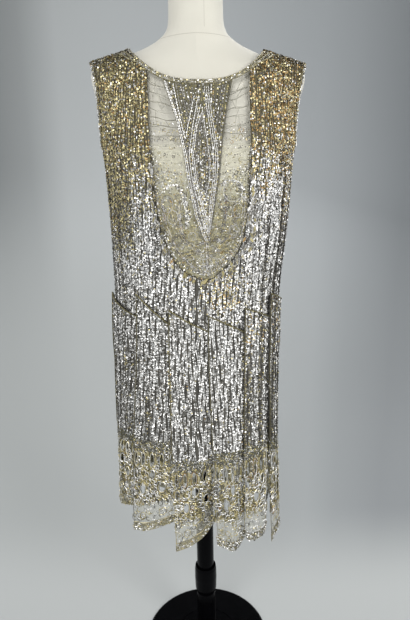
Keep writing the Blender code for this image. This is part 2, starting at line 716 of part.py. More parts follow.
def tab_spot(index):
    """Gives spot(u, rise) for a lace tab: rise 1 is its top, 0 its foot."""
    panel, place = PANELS[index], panel_place(index)

    def spot(u, rise):
        foot = panel.hem_left + (panel.hem_right - panel.hem_left) * u
        foot -= panel.sag * abs(math.sin(math.pi * u)) ** HEM_ROUNDNESS
        return place(u, foot + (panel.lace - foot) * rise)

    return spot


def lace_rises():
    """Edges of the lace bands as shares of the tab's height, from its foot up."""
    edges = [0.0]
    for band in LACE_BANDS[::-1]:
        edges.append(edges[-1] + band.share)
    edges[-1] = 1.0
    return edges


def add_lace_tab(index):
    """The lace end of a panel, cut through between its petals and flowers."""
    cuts = {}
    for row, band in enumerate(reversed(LACE_BANDS)):
        for column in band.cut:
            cuts[column, row] = (band.wide, band.tall)
    cells = cut_cells(tab_spot(index), spread(TAB_COLUMNS), lace_rises(), cuts)
    add_wall(f"lace_tab_{index + 1:02d}", cells, LACE_THICK, "ecru_net", ECRU_NET)


def add_hem_border(index):
    """The gold border sewn along the foot of a lace tab, made from the tab's own spots."""
    spot, grid = tab_spot(index), []
    for rise in lace_rises()[:2]:
        row = [spot(u, rise) for u in spread(TAB_COLUMNS)]
        grid.append([(angle, height, lift + LACE_THICK + CLEAR) for angle, height, lift in row])
    add_wall(f"hem_border_{index + 1:02d}", cells_of(grid), TRIM_THICK, "old_gold", OLD_GOLD)


# ---------------------------------------------------------------- form and stand
def add_form():
    """The limbless form: torso and neck in one, with a flat foot and a domed neck top."""
    form = bmesh.new()
    steps = FORM_SIDES
    heights = [ring.height for ring in FORM]
    between = [(a + b) / 2 for a, b in zip(heights, heights[1:]) if b - a > 0.045]
    rings = []
    for height in sorted(heights + between):
        ring = ring_at(FORM, height)
        angles = [360 * i / steps for i in range(steps)]
        rings.append([form.verts.new(on_ring(ring, a + 0.001)) for a in angles])
    for low, high in zip(rings, rings[1:]):
        for i in range(steps):
            form.faces.new((low[i], low[(i + 1) % steps], high[(i + 1) % steps], high[i]))
    for ring, offset in ((rings[0], 0.0), (rings[-1], 0.003)):
        middle = sum((v.co for v in ring), Vector()) / steps
        tip = form.verts.new(middle + Vector((0, 0, offset)))
        for i in range(steps):
            form.faces.new((ring[i], ring[(i + 1) % steps], tip))
    bmesh.ops.recalc_face_normals(form, faces=form.faces)
    return add_object("dress_form", form, "form_cover", FORM_COVER)


def add_turned(name, profile, steps, look_name, look):
    """A solid turned round the Z axis from (radius, height) points that start and end on it."""
    form = bmesh.new()
    points = [form.verts.new((radius, 0, height)) for radius, height in profile]
    edges = [form.edges.new(pair) for pair in zip(points, points[1:])]
    bmesh.ops.spin(
        form, geom=points + edges, cent=(0, 0, 0), axis=(0, 0, 1),
        angle=math.tau, steps=steps, use_merge=True,
    )
    bmesh.ops.remove_doubles(form, verts=form.verts, dist=1e-5)
    bmesh.ops.recalc_face_normals(form, faces=form.faces)
    return add_object(name, form, look_name, look)


def add_stand():
    """Round base, a socket with a flared collar, and the pole that carries the form."""
    disc_foot = 0.0
    groove, groove_depth = 0.074, 0.0012
    base = [
        (0, disc_foot),
        (BASE_RADIUS - 0.002, disc_foot),
        (BASE_RADIUS, disc_foot + 0.002),
        (BASE_RADIUS, BASE_THICK - 0.004),
        (BASE_RADIUS - 0.004, BASE_THICK - 0.0012),
        (groove + 0.002, BASE_THICK),
        (groove + 0.0012, BASE_THICK - groove_depth),
        (groove - 0.0012, BASE_THICK - groove_depth),
        (groove - 0.002, BASE_THICK + 0.0008),
        (0, BASE_THICK + 0.0008),
    ]
    add_turned("stand_base", base, 48, "black_steel", BLACK_STEEL)
    foot = BASE_THICK + 0.0008 + SEAM_GAP
    bore, bore_foot = POLE_RADIUS + 0.0005, 0.158
    socket = [
        (0, foot),
        (SOCKET_RADIUS + 0.004, foot),
        (SOCKET_RADIUS + 0.004, foot + 0.003),
        (SOCKET_RADIUS, foot + 0.006),
        (SOCKET_RADIUS, 0.146),
        (0.0262, 0.158),
        (0.0272, 0.190),
        (0.0266, 0.214),
        (0.0252, 0.2225),
        (0.0236, 0.2225),
        (bore, 0.214),
        (bore, bore_foot),
        (0, bore_foot),
    ]
    add_turned("stand_socket", socket, 32, "black_steel", BLACK_STEEL)
    top = FORM_FOOT_HEIGHT - SEAM_GAP
    pole = [
        (0, bore_foot + SEAM_GAP),
        (POLE_RADIUS, bore_foot + SEAM_GAP),
        (POLE_RADIUS, top - 0.006),
        (0.050, top - 0.006),
        (0.050, top),
        (0, top),
    ]
    add_turned("stand_pole", pole, 32, "black_steel", BLACK_STEEL)


def build():
    clear_scene()
    add_bodice()
    add_yoke()
    add_insert()
    add_neck_band()
    add_armhole_band("armhole_band_left", -1)
    add_armhole_band("armhole_band_right", 1)
    for index in range(len(PANELS)):
        add_skirt_panel(index)
        add_lace_tab(index)
        add_hem_border(index)
    add_form()
    add_stand()


build()
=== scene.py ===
import math
from collections import namedtuple

import bpy
import numpy as np
from mathutils import Matrix, Vector


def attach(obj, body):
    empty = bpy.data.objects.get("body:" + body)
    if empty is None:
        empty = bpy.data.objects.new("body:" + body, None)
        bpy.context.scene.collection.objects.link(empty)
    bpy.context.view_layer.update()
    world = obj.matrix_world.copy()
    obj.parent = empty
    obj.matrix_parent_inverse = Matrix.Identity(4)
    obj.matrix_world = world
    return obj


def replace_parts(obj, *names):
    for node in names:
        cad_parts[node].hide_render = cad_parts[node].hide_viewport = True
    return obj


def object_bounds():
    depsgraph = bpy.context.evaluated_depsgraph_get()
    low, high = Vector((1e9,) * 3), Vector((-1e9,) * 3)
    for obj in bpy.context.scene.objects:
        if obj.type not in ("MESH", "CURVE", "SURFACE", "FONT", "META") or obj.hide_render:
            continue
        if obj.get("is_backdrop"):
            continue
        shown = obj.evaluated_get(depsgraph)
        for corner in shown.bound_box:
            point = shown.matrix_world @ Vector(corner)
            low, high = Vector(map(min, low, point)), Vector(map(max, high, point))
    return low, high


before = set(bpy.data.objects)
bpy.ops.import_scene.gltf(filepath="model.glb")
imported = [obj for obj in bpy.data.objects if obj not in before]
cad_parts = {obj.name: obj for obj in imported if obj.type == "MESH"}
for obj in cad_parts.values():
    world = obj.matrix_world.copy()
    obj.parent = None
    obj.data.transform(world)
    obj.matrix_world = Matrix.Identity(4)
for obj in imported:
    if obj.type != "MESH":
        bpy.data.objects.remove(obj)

cad_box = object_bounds()

# ---------------------------------------------------------------- the room
# A pale floor that sweeps up into a grey paper backdrop, lit by large soft lamps. The camera
# stands at chest height, a good metre off, and looks slightly down at the dress.
CAMERA_PLACE, CAMERA_TILT, CAMERA_ROLL = (0.01034, -1.13, 1.184), 15, 1.06  # metres, degrees
CAMERA_FILM, CAMERA_LENS = 36.0, 31.065  # millimetres


class Wire:
    """A node's output that can be used in sums."""

    def __init__(self, tree, socket):
        self.tree, self.socket = tree, socket

    def sum(self, operation, first, second):
        node = self.tree.nodes.new("ShaderNodeMath")
        node.operation = operation
        for entry, value in zip(node.inputs, (first, second)):
            if isinstance(value, Wire):
                self.tree.links.new(value.socket, entry)
            else:
                entry.default_value = value
        return Wire(self.tree, node.outputs[0])

    def __add__(self, other):
        return self.sum("ADD", self, other)

    __radd__ = __add__

    def __mul__(self, other):
        return self.sum("MULTIPLY", self, other)

    __rmul__ = __mul__

    def __sub__(self, other):
        return self.sum("SUBTRACT", self, other)

    def __rsub__(self, other):
        return self.sum("SUBTRACT", other, self)

    def __truediv__(self, other):
        return self.sum("DIVIDE", self, other)

    def __gt__(self, other):
        return self.sum("GREATER_THAN", self, other)

    def __lt__(self, other):
        return self.sum("LESS_THAN", self, other)


class Finish:
    """A material in the making: its shader and the nodes that feed it."""

    def __init__(self, name, plain):
        self.made = bpy.data.materials.new(name)
        self.made.use_nodes = True
        self.tree = self.made.node_tree
        self.shader = self.tree.nodes["Principled BSDF"]
        for socket, value in plain.items():
            self.shader.inputs[socket].default_value = value

    def node(self, kind, settings, sockets, give=0):
        """Adds a node: its settings first, then the values or links of its sockets."""
        node = self.tree.nodes.new("ShaderNode" + kind)
        for setting, value in settings.items():
            if setting == "stops":
                ends = node.color_ramp.elements
                while len(ends) < len(value):
                    ends.new(0.5)
                for end, (place, shade) in zip(ends, value):
                    end.position, end.color = place, (*shade, 1.0)
            else:
                setattr(node, setting, value)
        for socket, value in sockets.items():
            if isinstance(value, Wire):
                self.tree.links.new(value.socket, node.inputs[socket])
            else:
                node.inputs[socket].default_value = value
        return Wire(self.tree, node.outputs[give])

    def place(self, kind="Object"):
        return self.node("TexCoord", {}, {}, kind)

    def axes(self, where):
        """The three coordinates of a place."""
        parts = self.node("SeparateXYZ", {}, {"Vector": where}).socket.node.outputs
        return [Wire(self.tree, part) for part in parts]

    def ramp(self, share, low, high, kind="LINEAR"):
        """0 to 1 as something goes from a low value to a high one."""
        ends = {"Value": share, "From Min": low, "From Max": high}
        return self.node("MapRange", {"interpolation_type": kind}, ends)

    def noise(self, where, scale, detail=2.0):
        return self.node("TexNoise", {}, {"Vector": where, "Scale": scale, "Detail": detail})

    def tint(self, share, first, second):
        """A colour between two others; 6, 7 and 2 are the colour sockets of a Mix node."""
        ends = {6: first, 7: second}
        for end, value in ends.items():
            if not isinstance(value, Wire):
                ends[end] = (*value, 1.0)
        return self.node("Mix", {"data_type": "RGBA"}, {0: share, **ends}, 2)

    def feed(self, socket, wire):
        self.tree.links.new(wire.socket, self.shader.inputs[socket])

    def bump(self, wire, distance, strength=1.0):
        sockets = {"Height": wire, "Distance": distance, "Strength": strength}
        self.feed("Normal", self.node("Bump", {}, sockets))


def cells(number, closed=False):
    """The faces between rows and columns of numbered points; closed ones go all the way round."""
    if closed:
        number = np.concatenate([number, number[..., :1]], -1)
    low, high = number[..., :-1, :], number[..., 1:, :]
    return np.stack([low[..., :-1], low[..., 1:], high[..., 1:], high[..., :-1]], -1)


def add_piece(name, points, faces, looks, slot=None, marks=None, patches=None, smooth=True):
    """An object from points and faces. Marks are the points' UV places in metres, patches the
    number of each face's look, and a slot makes it a piece of the dress on its form."""
    mesh = bpy.data.meshes.new(name)
    mesh.from_pydata(np.asarray(points).tolist(), [], [list(face) for face in faces])
    for look in looks:
        mesh.materials.append(look)
    if smooth:
        mesh.shade_smooth()
        mesh.set_sharp_from_angle(angle=math.radians(50))
    if marks is not None:
        corners = np.zeros(len(mesh.loops), int)
        mesh.loops.foreach_get("vertex_index", corners)
        mesh.uv_layers.new(name="cloth").data.foreach_set("uv", marks[corners].ravel())
    if patches is not None:
        mesh.polygons.foreach_set("material_index", np.asarray(patches, np.int32))
    made = bpy.data.objects.new(name, mesh)
    bpy.context.scene.collection.objects.link(made)
    if slot:
        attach(made, "root")
    return made


def add_sweep():
    """Floor and backdrop in one sheet, painted paler in the middle and greyer to the right as light
    fall-off.
    """
    curve = [(-5.0, 0.0), (1.0, 0.0), (2.0, 0.05), (2.9, 0.26), (3.6, 0.66), (4.1, 1.25)]
    curve += [(4.4, 2.0), (4.5, 3.0), (4.5, 5.0)]
    wide = np.linspace(-6, 6, 9)
    points = [(x, y, z) for y, z in curve for x in wide]
    number = np.arange(len(points)).reshape(len(curve), len(wide))
    paper = Finish("backdrop_paper", {"Roughness": 0.85})
    where = paper.place()
    across, back, rise = paper.axes(where)
    aside = paper.ramp(across / (back - CAMERA_PLACE[1]), -0.37, 0.37)
    up = paper.ramp(rise, -0.3, 1.3, "SMOOTHSTEP")
    away = paper.ramp(back, 0.10, 0.55, "SMOOTHSTEP")
    # Painted light: the paper's colour is paler in the upper middle and darker towards the sides, most at
    # the foot on the right, for the lamps' fall-off.
    low = paper.node("ValToRGB", {"stops": [  # foot of the wall, from left to right
        (0.0, (0.400, 0.415, 0.410)), (0.60, (0.400, 0.415, 0.413)),
        (0.79, (0.350, 0.366, 0.370)), (0.87, (0.285, 0.299, 0.305)), (1.0, (0.232, 0.244, 0.252)),
    ]}, {"Fac": aside})
    high = paper.node("ValToRGB", {"stops": [  # its upper part
        (0.0, (0.250, 0.262, 0.264)), (0.085, (0.320, 0.334, 0.336)),
        (0.17, (0.470, 0.488, 0.490)), (0.50, (0.550, 0.571, 0.580)),
        (0.79, (0.550, 0.574, 0.588)), (0.87, (0.515, 0.538, 0.553)), (1.0, (0.410, 0.430, 0.446)),
    ]}, {"Fac": aside})
    # Painted light: the wall's colour is made brighter half way up, where the lamps' light falls strongest.
    glow = {0: paper.tint(up, low, high), "Scale": (up - up * up) * 0.42 + 1.0}
    wall = paper.node("VectorMath", {"operation": "SCALE"}, glow)
    mottle = paper.noise(where, 1.5) * 0.1 - 0.05
    paper.feed("Base Color", paper.tint(away + mottle, (0.46, 0.475, 0.47), wall))
    paper.bump(paper.noise(where, 300.0), 0.0002)
    sweep = add_piece("backdrop", points, cells(number).reshape(-1, 4), [paper.made])
    bend = sweep.modifiers.new("soft bend", "SUBSURF")
    bend.levels = bend.render_levels = 3
    sweep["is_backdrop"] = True


def add_lamp(name, place, target, size, power):
    """A soft white box, aimed at a target."""
    lamp = bpy.data.lights.new(name, "AREA")
    lamp.shape, lamp.size, lamp.size_y = "RECTANGLE", *size
    lamp.energy = power
    made = bpy.data.objects.new(name, lamp)
    made.location = place
    made.rotation_euler = (Vector(target) - Vector(place)).to_track_quat("-Z", "Y").to_euler()
    bpy.context.scene.collection.objects.link(made)


def add_camera():
    """The camera looks ahead and down, rolled a little to one side."""
    tilt, roll = math.radians(CAMERA_TILT), math.radians(CAMERA_ROLL)
    ahead = Vector((0, math.cos(tilt), -math.sin(tilt)))
    level, upright = Vector((1, 0, 0)), Vector((0, math.sin(tilt), math.cos(tilt)))
    right = math.cos(roll) * level - math.sin(roll) * upright
    above = math.sin(roll) * level + math.cos(roll) * upright
    lens = bpy.data.cameras.new("camera")
    lens.sensor_width, lens.lens = CAMERA_FILM, CAMERA_LENS
    camera = bpy.data.objects.new("camera", lens)
    camera.location = CAMERA_PLACE
    camera.rotation_euler = Matrix((right, above, -ahead)).transposed().to_euler()
    bpy.context.scene.collection.objects.link(camera)
    bpy.context.scene.camera = camera


add_sweep()
add_lamp("key_lamp", (-0.9, -2.5, 2.6), (0, 0, 1.0), (1.4, 1.2), 46)
add_lamp("fill_lamp", (1.7, -2.0, 1.9), (0, 0, 0.9), (1.0, 1.6), 35)
add_lamp("low_lamp", (-0.3, -2.6, 0.7), (0, 0, 0.8), (1.6, 0.5), 12)
add_lamp("left_lamp", (-2.3, 0.2, 1.6), (0, 0, 1.0), (0.8, 1.6), 14)
add_lamp("right_lamp", (2.3, 0.2, 1.5), (0, 0, 1.0), (0.8, 1.6), 17)
add_lamp("back_lamp", (1.4, 2.4, 2.7), (0, 0, 1.0), (1.2, 1.2), 34)
add_lamp("paper_lamp", (-1.6, 1.6, 3.0), (-0.8, 3.8, 0.8), (1.5, 1.5), 40)
add_camera()

sky = bpy.data.worlds.new("room")
sky.use_nodes = True
sky.node_tree.nodes["Background"].inputs["Color"].default_value = (0.72, 0.76, 0.78, 1.0)
sky.node_tree.nodes["Background"].inputs["Strength"].default_value = 0.33
bpy.context.scene.world = sky
bpy.context.scene.view_settings.view_transform = "Standard"

# ---------------------------------------------------------------- dress form
# A limbless torso and neck of papier-mache, covered in stretched cream jersey that is sewn in
# a seam round the foot of the neck and another down one side of the neck.
FORM = [  # height, half width, depth in front and behind, squareness, sideways shift
    (0.7000, 0.1300, 0.074, 0.082, 2.20, 0.0),
    (0.7060, 0.1420, 0.084, 0.092, 2.20, 0.0),
    (0.7300, 0.1500, 0.094, 0.104, 2.20, 0.0),
    (0.8200, 0.1540, 0.100, 0.112, 2.20, 0.0),
    (0.9000, 0.1460, 0.097, 0.102, 2.20, 0.0),
    (0.9600, 0.1330, 0.090, 0.088, 2.20, 0.0),
    (1.0200, 0.1250, 0.087, 0.079, 2.20, 0.0),
    (1.0800, 0.1340, 0.099, 0.083, 2.20, 0.0),
    (1.1500, 0.1500, 0.114, 0.091, 2.20, 0.0005),
    (1.2000, 0.1650, 0.114, 0.094, 2.15, 0.0015),
    (1.2600, 0.1860, 0.107, 0.093, 2.02, 0.0030),
    (1.3100, 0.2000, 0.097, 0.087, 1.86, 0.0040),
    (1.3420, 0.2080, 0.088, 0.081, 1.70, 0.0052),
    (1.3590, 0.2085, 0.082, 0.077, 1.58, 0.0052),
    (1.3680, 0.2015, 0.079, 0.075, 1.52, 0.0044),
    (1.3815, 0.1605, 0.075, 0.072, 1.42, 0.0034),
    (1.3940, 0.1255, 0.071, 0.069, 1.35, 0.0030),
    (1.4055, 0.0970, 0.067, 0.066, 1.38, 0.0030),
    (1.4140, 0.0800, 0.064, 0.064, 1.50, 0.0030),
    (1.4270, 0.0625, 0.060, 0.060, 1.80, 0.0030),
    (1.4410, 0.0545, 0.057, 0.058, 2.00, 0.0030),
    (1.4700, 0.0520, 0.055, 0.056, 2.00, 0.0030),
    (1.5180, 0.0515, 0.055, 0.056, 2.00, 0.0030),
    (1.5260, 0.0485, 0.052, 0.053, 2.00, 0.0030),
    (1.5300, 0.0405, 0.044, 0.045, 2.00, 0.0030),
]
SHOULDER_LEAN, BUST_HEIGHT = 0.022, 1.150
SEAM_GAP, SEAM_RIDGE = 0.0004, 0.0006


def eased(share):
    """0 to 1 with a soft start and end, held outside."""
    share = np.clip(share, 0.0, 1.0)
    return share * share * (3 - 2 * share)


def unit(vectors):
    """Vectors made one long."""
    return vectors / np.maximum(np.linalg.norm(vectors, axis=-1), 1e-9)[..., None]


def ring_at(table, height):
    """The rings at some heights, on a smooth curve through the table's rows."""
    table, height = np.asarray(table), np.asarray(height, float)
    held = np.clip(height, table[0, 0], table[-1, 0])
    at = np.clip(np.searchsorted(table[:, 0], held, side="right") - 1, 0, len(table) - 2)
    before, low, high, after = (
        table[np.clip(at + step, 0, len(table) - 1)] for step in (-1, 0, 1, 2)
    )
    span = (high - low)[..., :1]
    t = (held[..., None] - low[..., :1]) / span
    slope_in = (high - before) / (high - before)[..., :1] * span
    slope_out = (after - low) / (after - low)[..., :1] * span
    rings = (
        low * (2 * t**3 - 3 * t**2 + 1)
        + slope_in * (t**3 - 2 * t**2 + t)
        + high * (3 * t**2 - 2 * t**3)
        + slope_out * (t**3 - t**2)
    )
    rings[..., 0] = held
    return rings


def on_ring(ring, angle):
    """Points of rings. Angle 0 is the middle of the front, +90 the side at +X."""
    sine, cosine = np.sin(np.radians(angle)), np.cos(np.radians(angle))
    power = 2 / ring[..., 4]
    depth = np.where(cosine > 0, ring[..., 2], ring[..., 3])
    across = ring[..., 1] * np.sign(sine) * np.abs(sine) ** power
    away = -depth * np.sign(cosine) * np.abs(cosine) ** power - np.sign(cosine) * SEAM_GAP
    lean = -SHOULDER_LEAN * across * eased((ring[..., 0] - BUST_HEIGHT) / 0.2)
    return np.stack([ring[..., 5] + across, away, ring[..., 0] + lean], -1)


def add_form():
    steps, levels = 120, [row[0] for row in FORM]
    heights = np.unique(np.concatenate([levels, np.arange(0.735, 1.515, 0.008)]))
    angles = np.arange(steps) * 360 / steps + 0.001
    grid = on_ring(ring_at(FORM, heights)[:, None, :], angles[None, :])
    seam_height = 1.4385 - 0.02 * np.cos(np.radians(angles)) ** 2
    ridge = SEAM_RIDGE * np.exp(-(((grid[..., 2] - seam_height) / 0.0012) ** 2))
    grid = grid + ridge[..., None] * unit(grid * (1, 1, 0) - (0.003, 0, 0))
    points = np.vstack([grid.reshape(-1, 3), grid[0].mean(0), grid[-1].mean(0) + (0, 0, 0.003)])
    last = len(points) - 2
    around = np.stack([np.arange(steps), (np.arange(steps) + 1) % steps], -1)
    faces = cells(np.arange(last).reshape(-1, steps), True).reshape(-1, 4).tolist()
    faces += [(last, over, here) for here, over in around]
    faces += [(last + 1, *pair) for pair in around + last - steps]
    jersey = Finish("cream_jersey", {"Roughness": 0.8, "Sheen Weight": 0.3, "Sheen Roughness": 0.5})
    where = jersey.place()
    side, _, rise = jersey.axes(where)
    ribs = jersey.node("TexWave", {}, {"Vector": where, "Scale": 380.0, "Distortion": 0.6})
    soil = jersey.noise(where, 14.0, 4.0)
    cream = jersey.tint(soil, (0.60, 0.575, 0.495), (0.67, 0.645, 0.565))
    on_neck = (rise > 1.43) * (side > 0.0178) * (side < 0.0192)
    round_neck = (rise > 1.4182) * (rise < 1.4196)
    seams = on_neck * 0.35 + round_neck * 0.5
    jersey.feed("Base Color", jersey.tint(seams, cream, (0.36, 0.33, 0.27)))
    jersey.bump(ribs * 0.4 + jersey.noise(where, 900.0) - seams, 0.0003, 0.6)
    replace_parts(add_piece("jersey_form", points, faces, [jersey.made], "form_cover"), "dress_form")


add_form()

# ---------------------------------------------------------------- stand
# A weighted round base with a turned ring groove, a socket with a flared collar and a tube
# clamped in it, all sprayed gloss black and a little dusty on top.
enamel = Finish("gloss_black_enamel", {"Specular IOR Level": 0.05})
where = enamel.place()
dust = enamel.noise(where, 35.0, 5.0)
enamel.feed("Base Color", enamel.tint(dust, (0.0004, 0.0004, 0.0006), (0.0022, 0.0022, 0.0028)))
enamel.feed("Roughness", dust * 0.18 + 0.06)
enamel.bump(enamel.noise(where, 420.0), 0.00015)
for name in ("stand_base", "stand_socket", "stand_pole"):
    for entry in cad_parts[name].material_slots:
        entry.material = enamel.made

# ---------------------------------------------------------------- bodice cloth
# Front and back are cut from grey-brown silk net, joined at the sides and shoulders, and hang
# straight. The front is cut away in a deep U for the yoke. The drape is the cloth's inner face.
DRAPE = [  # as the form's rings
    (0.3000, 0.1825, 0.116, 0.124, 2.30, -0.0105),
    (0.4500, 0.1815, 0.115, 0.124, 2.30, -0.0118),
    (0.6000, 0.1795, 0.113, 0.124, 2.30, -0.0120),
    (0.7200, 0.1780, 0.113, 0.125, 2.30, -0.0102),
    (0.8300, 0.1755, 0.114, 0.126, 2.30, -0.0078),
    (0.9000, 0.1735, 0.117, 0.121, 2.30, -0.0062),
    (0.9700, 0.1755, 0.120, 0.112, 2.30, -0.0028),
    (1.0400, 0.1795, 0.123, 0.105, 2.30, 0.0004),
    (1.1500, 0.1840, 0.126, 0.103, 2.30, 0.0032),
    (1.2000, 0.1875, 0.124, 0.104, 2.28, 0.0036),
    (1.2600, 0.1965, 0.116, 0.102, 2.15, 0.0036),
    (1.3100, 0.2060, 0.106, 0.097, 1.98, 0.0046),
    (1.3470, 0.2135, 0.096, 0.090, 1.80, 0.0058),
    (1.3650, 0.2140, 0.089, 0.085, 1.66, 0.0058),
    (1.3741, 0.2070, 0.086, 0.083, 1.60, 0.0050),
    (1.3877, 0.1640, 0.081, 0.079, 1.46, 0.0040),
    (1.3990, 0.1280, 0.076, 0.075, 1.36, 0.0032),
    (1.4103, 0.0920, 0.072, 0.072, 1.34, 0.0028),
]
FOLDS = [  # angle, reach to each side, depth, heights of its start and end
    (-78, 8, 0.0045, 1.14, 0.34), (-62, 7, 0.0035, 1.08, 0.36), (-46, 6, 0.0025, 0.98, 0.40),
    (-30, 6, 0.0020, 0.88, 0.42), (-4, 6, 0.0016, 0.84, 0.40), (17, 6, 0.0018, 0.86, 0.40),
    (40, 6, 0.0030, 1.02, 0.38), (54, 6, 0.0040, 1.10, 0.36), (68, 7, 0.0048, 1.16, 0.34),
    (83, 7, 0.0045, 1.12, 0.34), (104, 8, 0.0045, 1.12, 0.34), (123, 8, 0.0035, 1.02, 0.36),
    (146, 7, 0.0025, 0.92, 0.40), (168, 7, 0.0020, 0.88, 0.40), (192, 7, 0.0022, 0.90, 0.40),
    (214, 7, 0.0030, 0.98, 0.38), (236, 8, 0.0040, 1.08, 0.36), (256, 8, 0.0045, 1.12, 0.34),
]
CREASES = [  # smaller ones of the thin cloth
    (-84, 2.2, 0.0026, 1.20, 0.42), (-77, 1.8, 0.0020, 1.10, 0.48), (-70, 2.4, 0.0034, 1.24, 0.44),
    (-63, 1.8, 0.0022, 1.06, 0.52), (-55, 2.2, 0.0016, 1.16, 0.60), (-37, 2.6, 0.0012, 1.02, 0.48),
    (-21, 2.4, 0.0010, 0.98, 0.62), (9, 2.2, 0.0010, 0.92, 0.50), (32, 2.4, 0.0016, 1.06, 0.46),
    (44, 2.0, 0.0024, 1.20, 0.52), (52, 1.8, 0.0020, 1.10, 0.44), (60, 2.2, 0.0038, 1.26, 0.42),
    (67, 1.8, 0.0028, 1.16, 0.50), (74, 2.2, 0.0038, 1.24, 0.42), (81, 1.8, 0.0026, 1.12, 0.46),
    (96, 2.4, 0.0028, 1.20, 0.50), (105, 1.9, 0.0022, 1.10, 0.44), (113, 2.3, 0.0024, 1.16, 0.58),
    (126, 2.0, 0.0018, 1.02, 0.48), (134, 2.5, 0.0016, 1.06, 0.46), (157, 2.4, 0.0012, 1.00, 0.52),
    (179, 2.6, 0.0010, 0.96, 0.60), (203, 2.4, 0.0012, 1.02, 0.50), (219, 2.0, 0.0018, 1.08, 0.44),
    (229, 2.5, 0.0020, 1.12, 0.46), (243, 1.9, 0.0026, 1.22, 0.54), (252, 2.2, 0.0030, 1.20, 0.42),
    (265, 2.2, 0.0026, 1.24, 0.48),
]
HIP_HEIGHT, HIP_HOLD = 0.880, 0.6
NECK_POINT, NECKLINE_DROP_FRONT, NECKLINE_DROP_BACK, NECKLINE_ROUNDNESS = 0.128, 0.064, 0.046, 2.7
SHOULDER_TIP, SHOULDER_HEIGHT, SHOULDER_SLOPE = 0.207, 1.399, 0.315
CLOTH_COLUMNS, CLOTH_ROWS, STRAP_ROWS = 132, 40, 32
UNDERARM_HEIGHT, BODICE_HEM_HEIGHT = 1.222, 0.835
YOKE_LEFT, YOKE_RIGHT, YOKE_TOP = -0.460, 0.505, 0.0925
YOKE_EDGE = [  # the yoke's lower edge: shares of the half width and heights
    (-0.460, 1.222), (-0.440, 1.150), (-0.418, 1.096), (-0.375, 1.058), (-0.285, 1.014),
    (-0.170, 0.992), (-0.060, 0.980), (0.114, 0.969), (0.210, 0.980), (0.310, 0.999),
    (0.400, 1.018), (0.468, 1.048), (0.495, 1.100), (0.505, 1.222),
]
ARMHOLE_CUT, SEQUINNED_THICK, CLEAR = 0.010, 0.0014, 0.0005
SIDE_ANGLE = 89.999


def fold_depth(angle, height):
    """How far folds and creases push the cloth in at an angle and height."""
    total = np.zeros(np.broadcast(angle, height).shape)
    hold = 1 - HIP_HOLD * np.exp(-(((height - HIP_HEIGHT) / 0.06) ** 2))
    for middle, reach, depth, top, foot in FOLDS + CREASES:
        off = (angle - middle + 180) % 360 - 180
        fade = eased((top - height) / 0.16) * eased((height - foot + 0.10) / 0.10) * hold
        trough = np.exp(-((off / reach) ** 2))
        banks = np.exp(-((off / (2 * reach)) ** 2))
        total = total + depth * fade * (1.4 * trough - 0.4 * banks)
    return total


def on_drape(angle, height, lift):
    """Points of the cloth's inner surface, lifted outwards."""
    angle, height, lift = np.broadcast_arrays(
        np.asarray(angle, float), np.asarray(height, float), np.asarray(lift, float)
    )
    sine, cosine = np.sin(np.radians(angle)), np.cos(np.radians(angle))
    at_side = np.abs(cosine) < 0.036
    inside = np.where(at_side, angle - 2 * np.sign(sine * cosine), angle)
    here = ring_at(DRAPE, height)
    near, far = on_ring(here, inside - 1.5), on_ring(here, inside + 1.5)
    below = on_ring(ring_at(DRAPE, height - 0.0015), inside)
    above = on_ring(ring_at(DRAPE, height + 0.0015), inside)
    normal = np.cross(far - near, above - below)
    normal[..., 1] = np.where(at_side, 0.0, normal[..., 1])
    return on_ring(here, angle) + unit(normal) * (lift - fold_depth(angle, height))[..., None]


def half_width(height):
    return ring_at(DRAPE, height)[..., 1]


def neckline(across, drop):
    """Height of the neck's edge at a distance from its middle; level with the shoulders past it."""
    share = np.minimum(np.abs(across) / NECK_POINT, 1.0)
    return SHOULDER_HEIGHT - drop * (1 - share**NECKLINE_ROUNDNESS)


def angle_of(share, height, back=False):
    """The angle where the drape reaches a share of its half width."""
    share = np.clip(share, -1.0, 1.0)
    power = ring_at(DRAPE, height)[..., 4] / 2
    angle = np.degrees(np.arcsin(np.sign(share) * np.abs(share) ** power))
    angle = np.clip(angle, -SIDE_ANGLE, SIDE_ANGLE)
    return 180 - angle if back else angle


def yoke_foot(share):
    """Height of the yoke's lower edge, its corners rounded off."""
    middle, half = (YOKE_RIGHT + YOKE_LEFT) / 2, (YOKE_RIGHT - YOKE_LEFT) / 2
    step = 0.34 * np.clip(half - np.abs(share - middle), 0.0, 0.2)
    return sum(np.interp(share + side * step, *np.transpose(YOKE_EDGE)) for side in (-1, 0, 1)) / 3


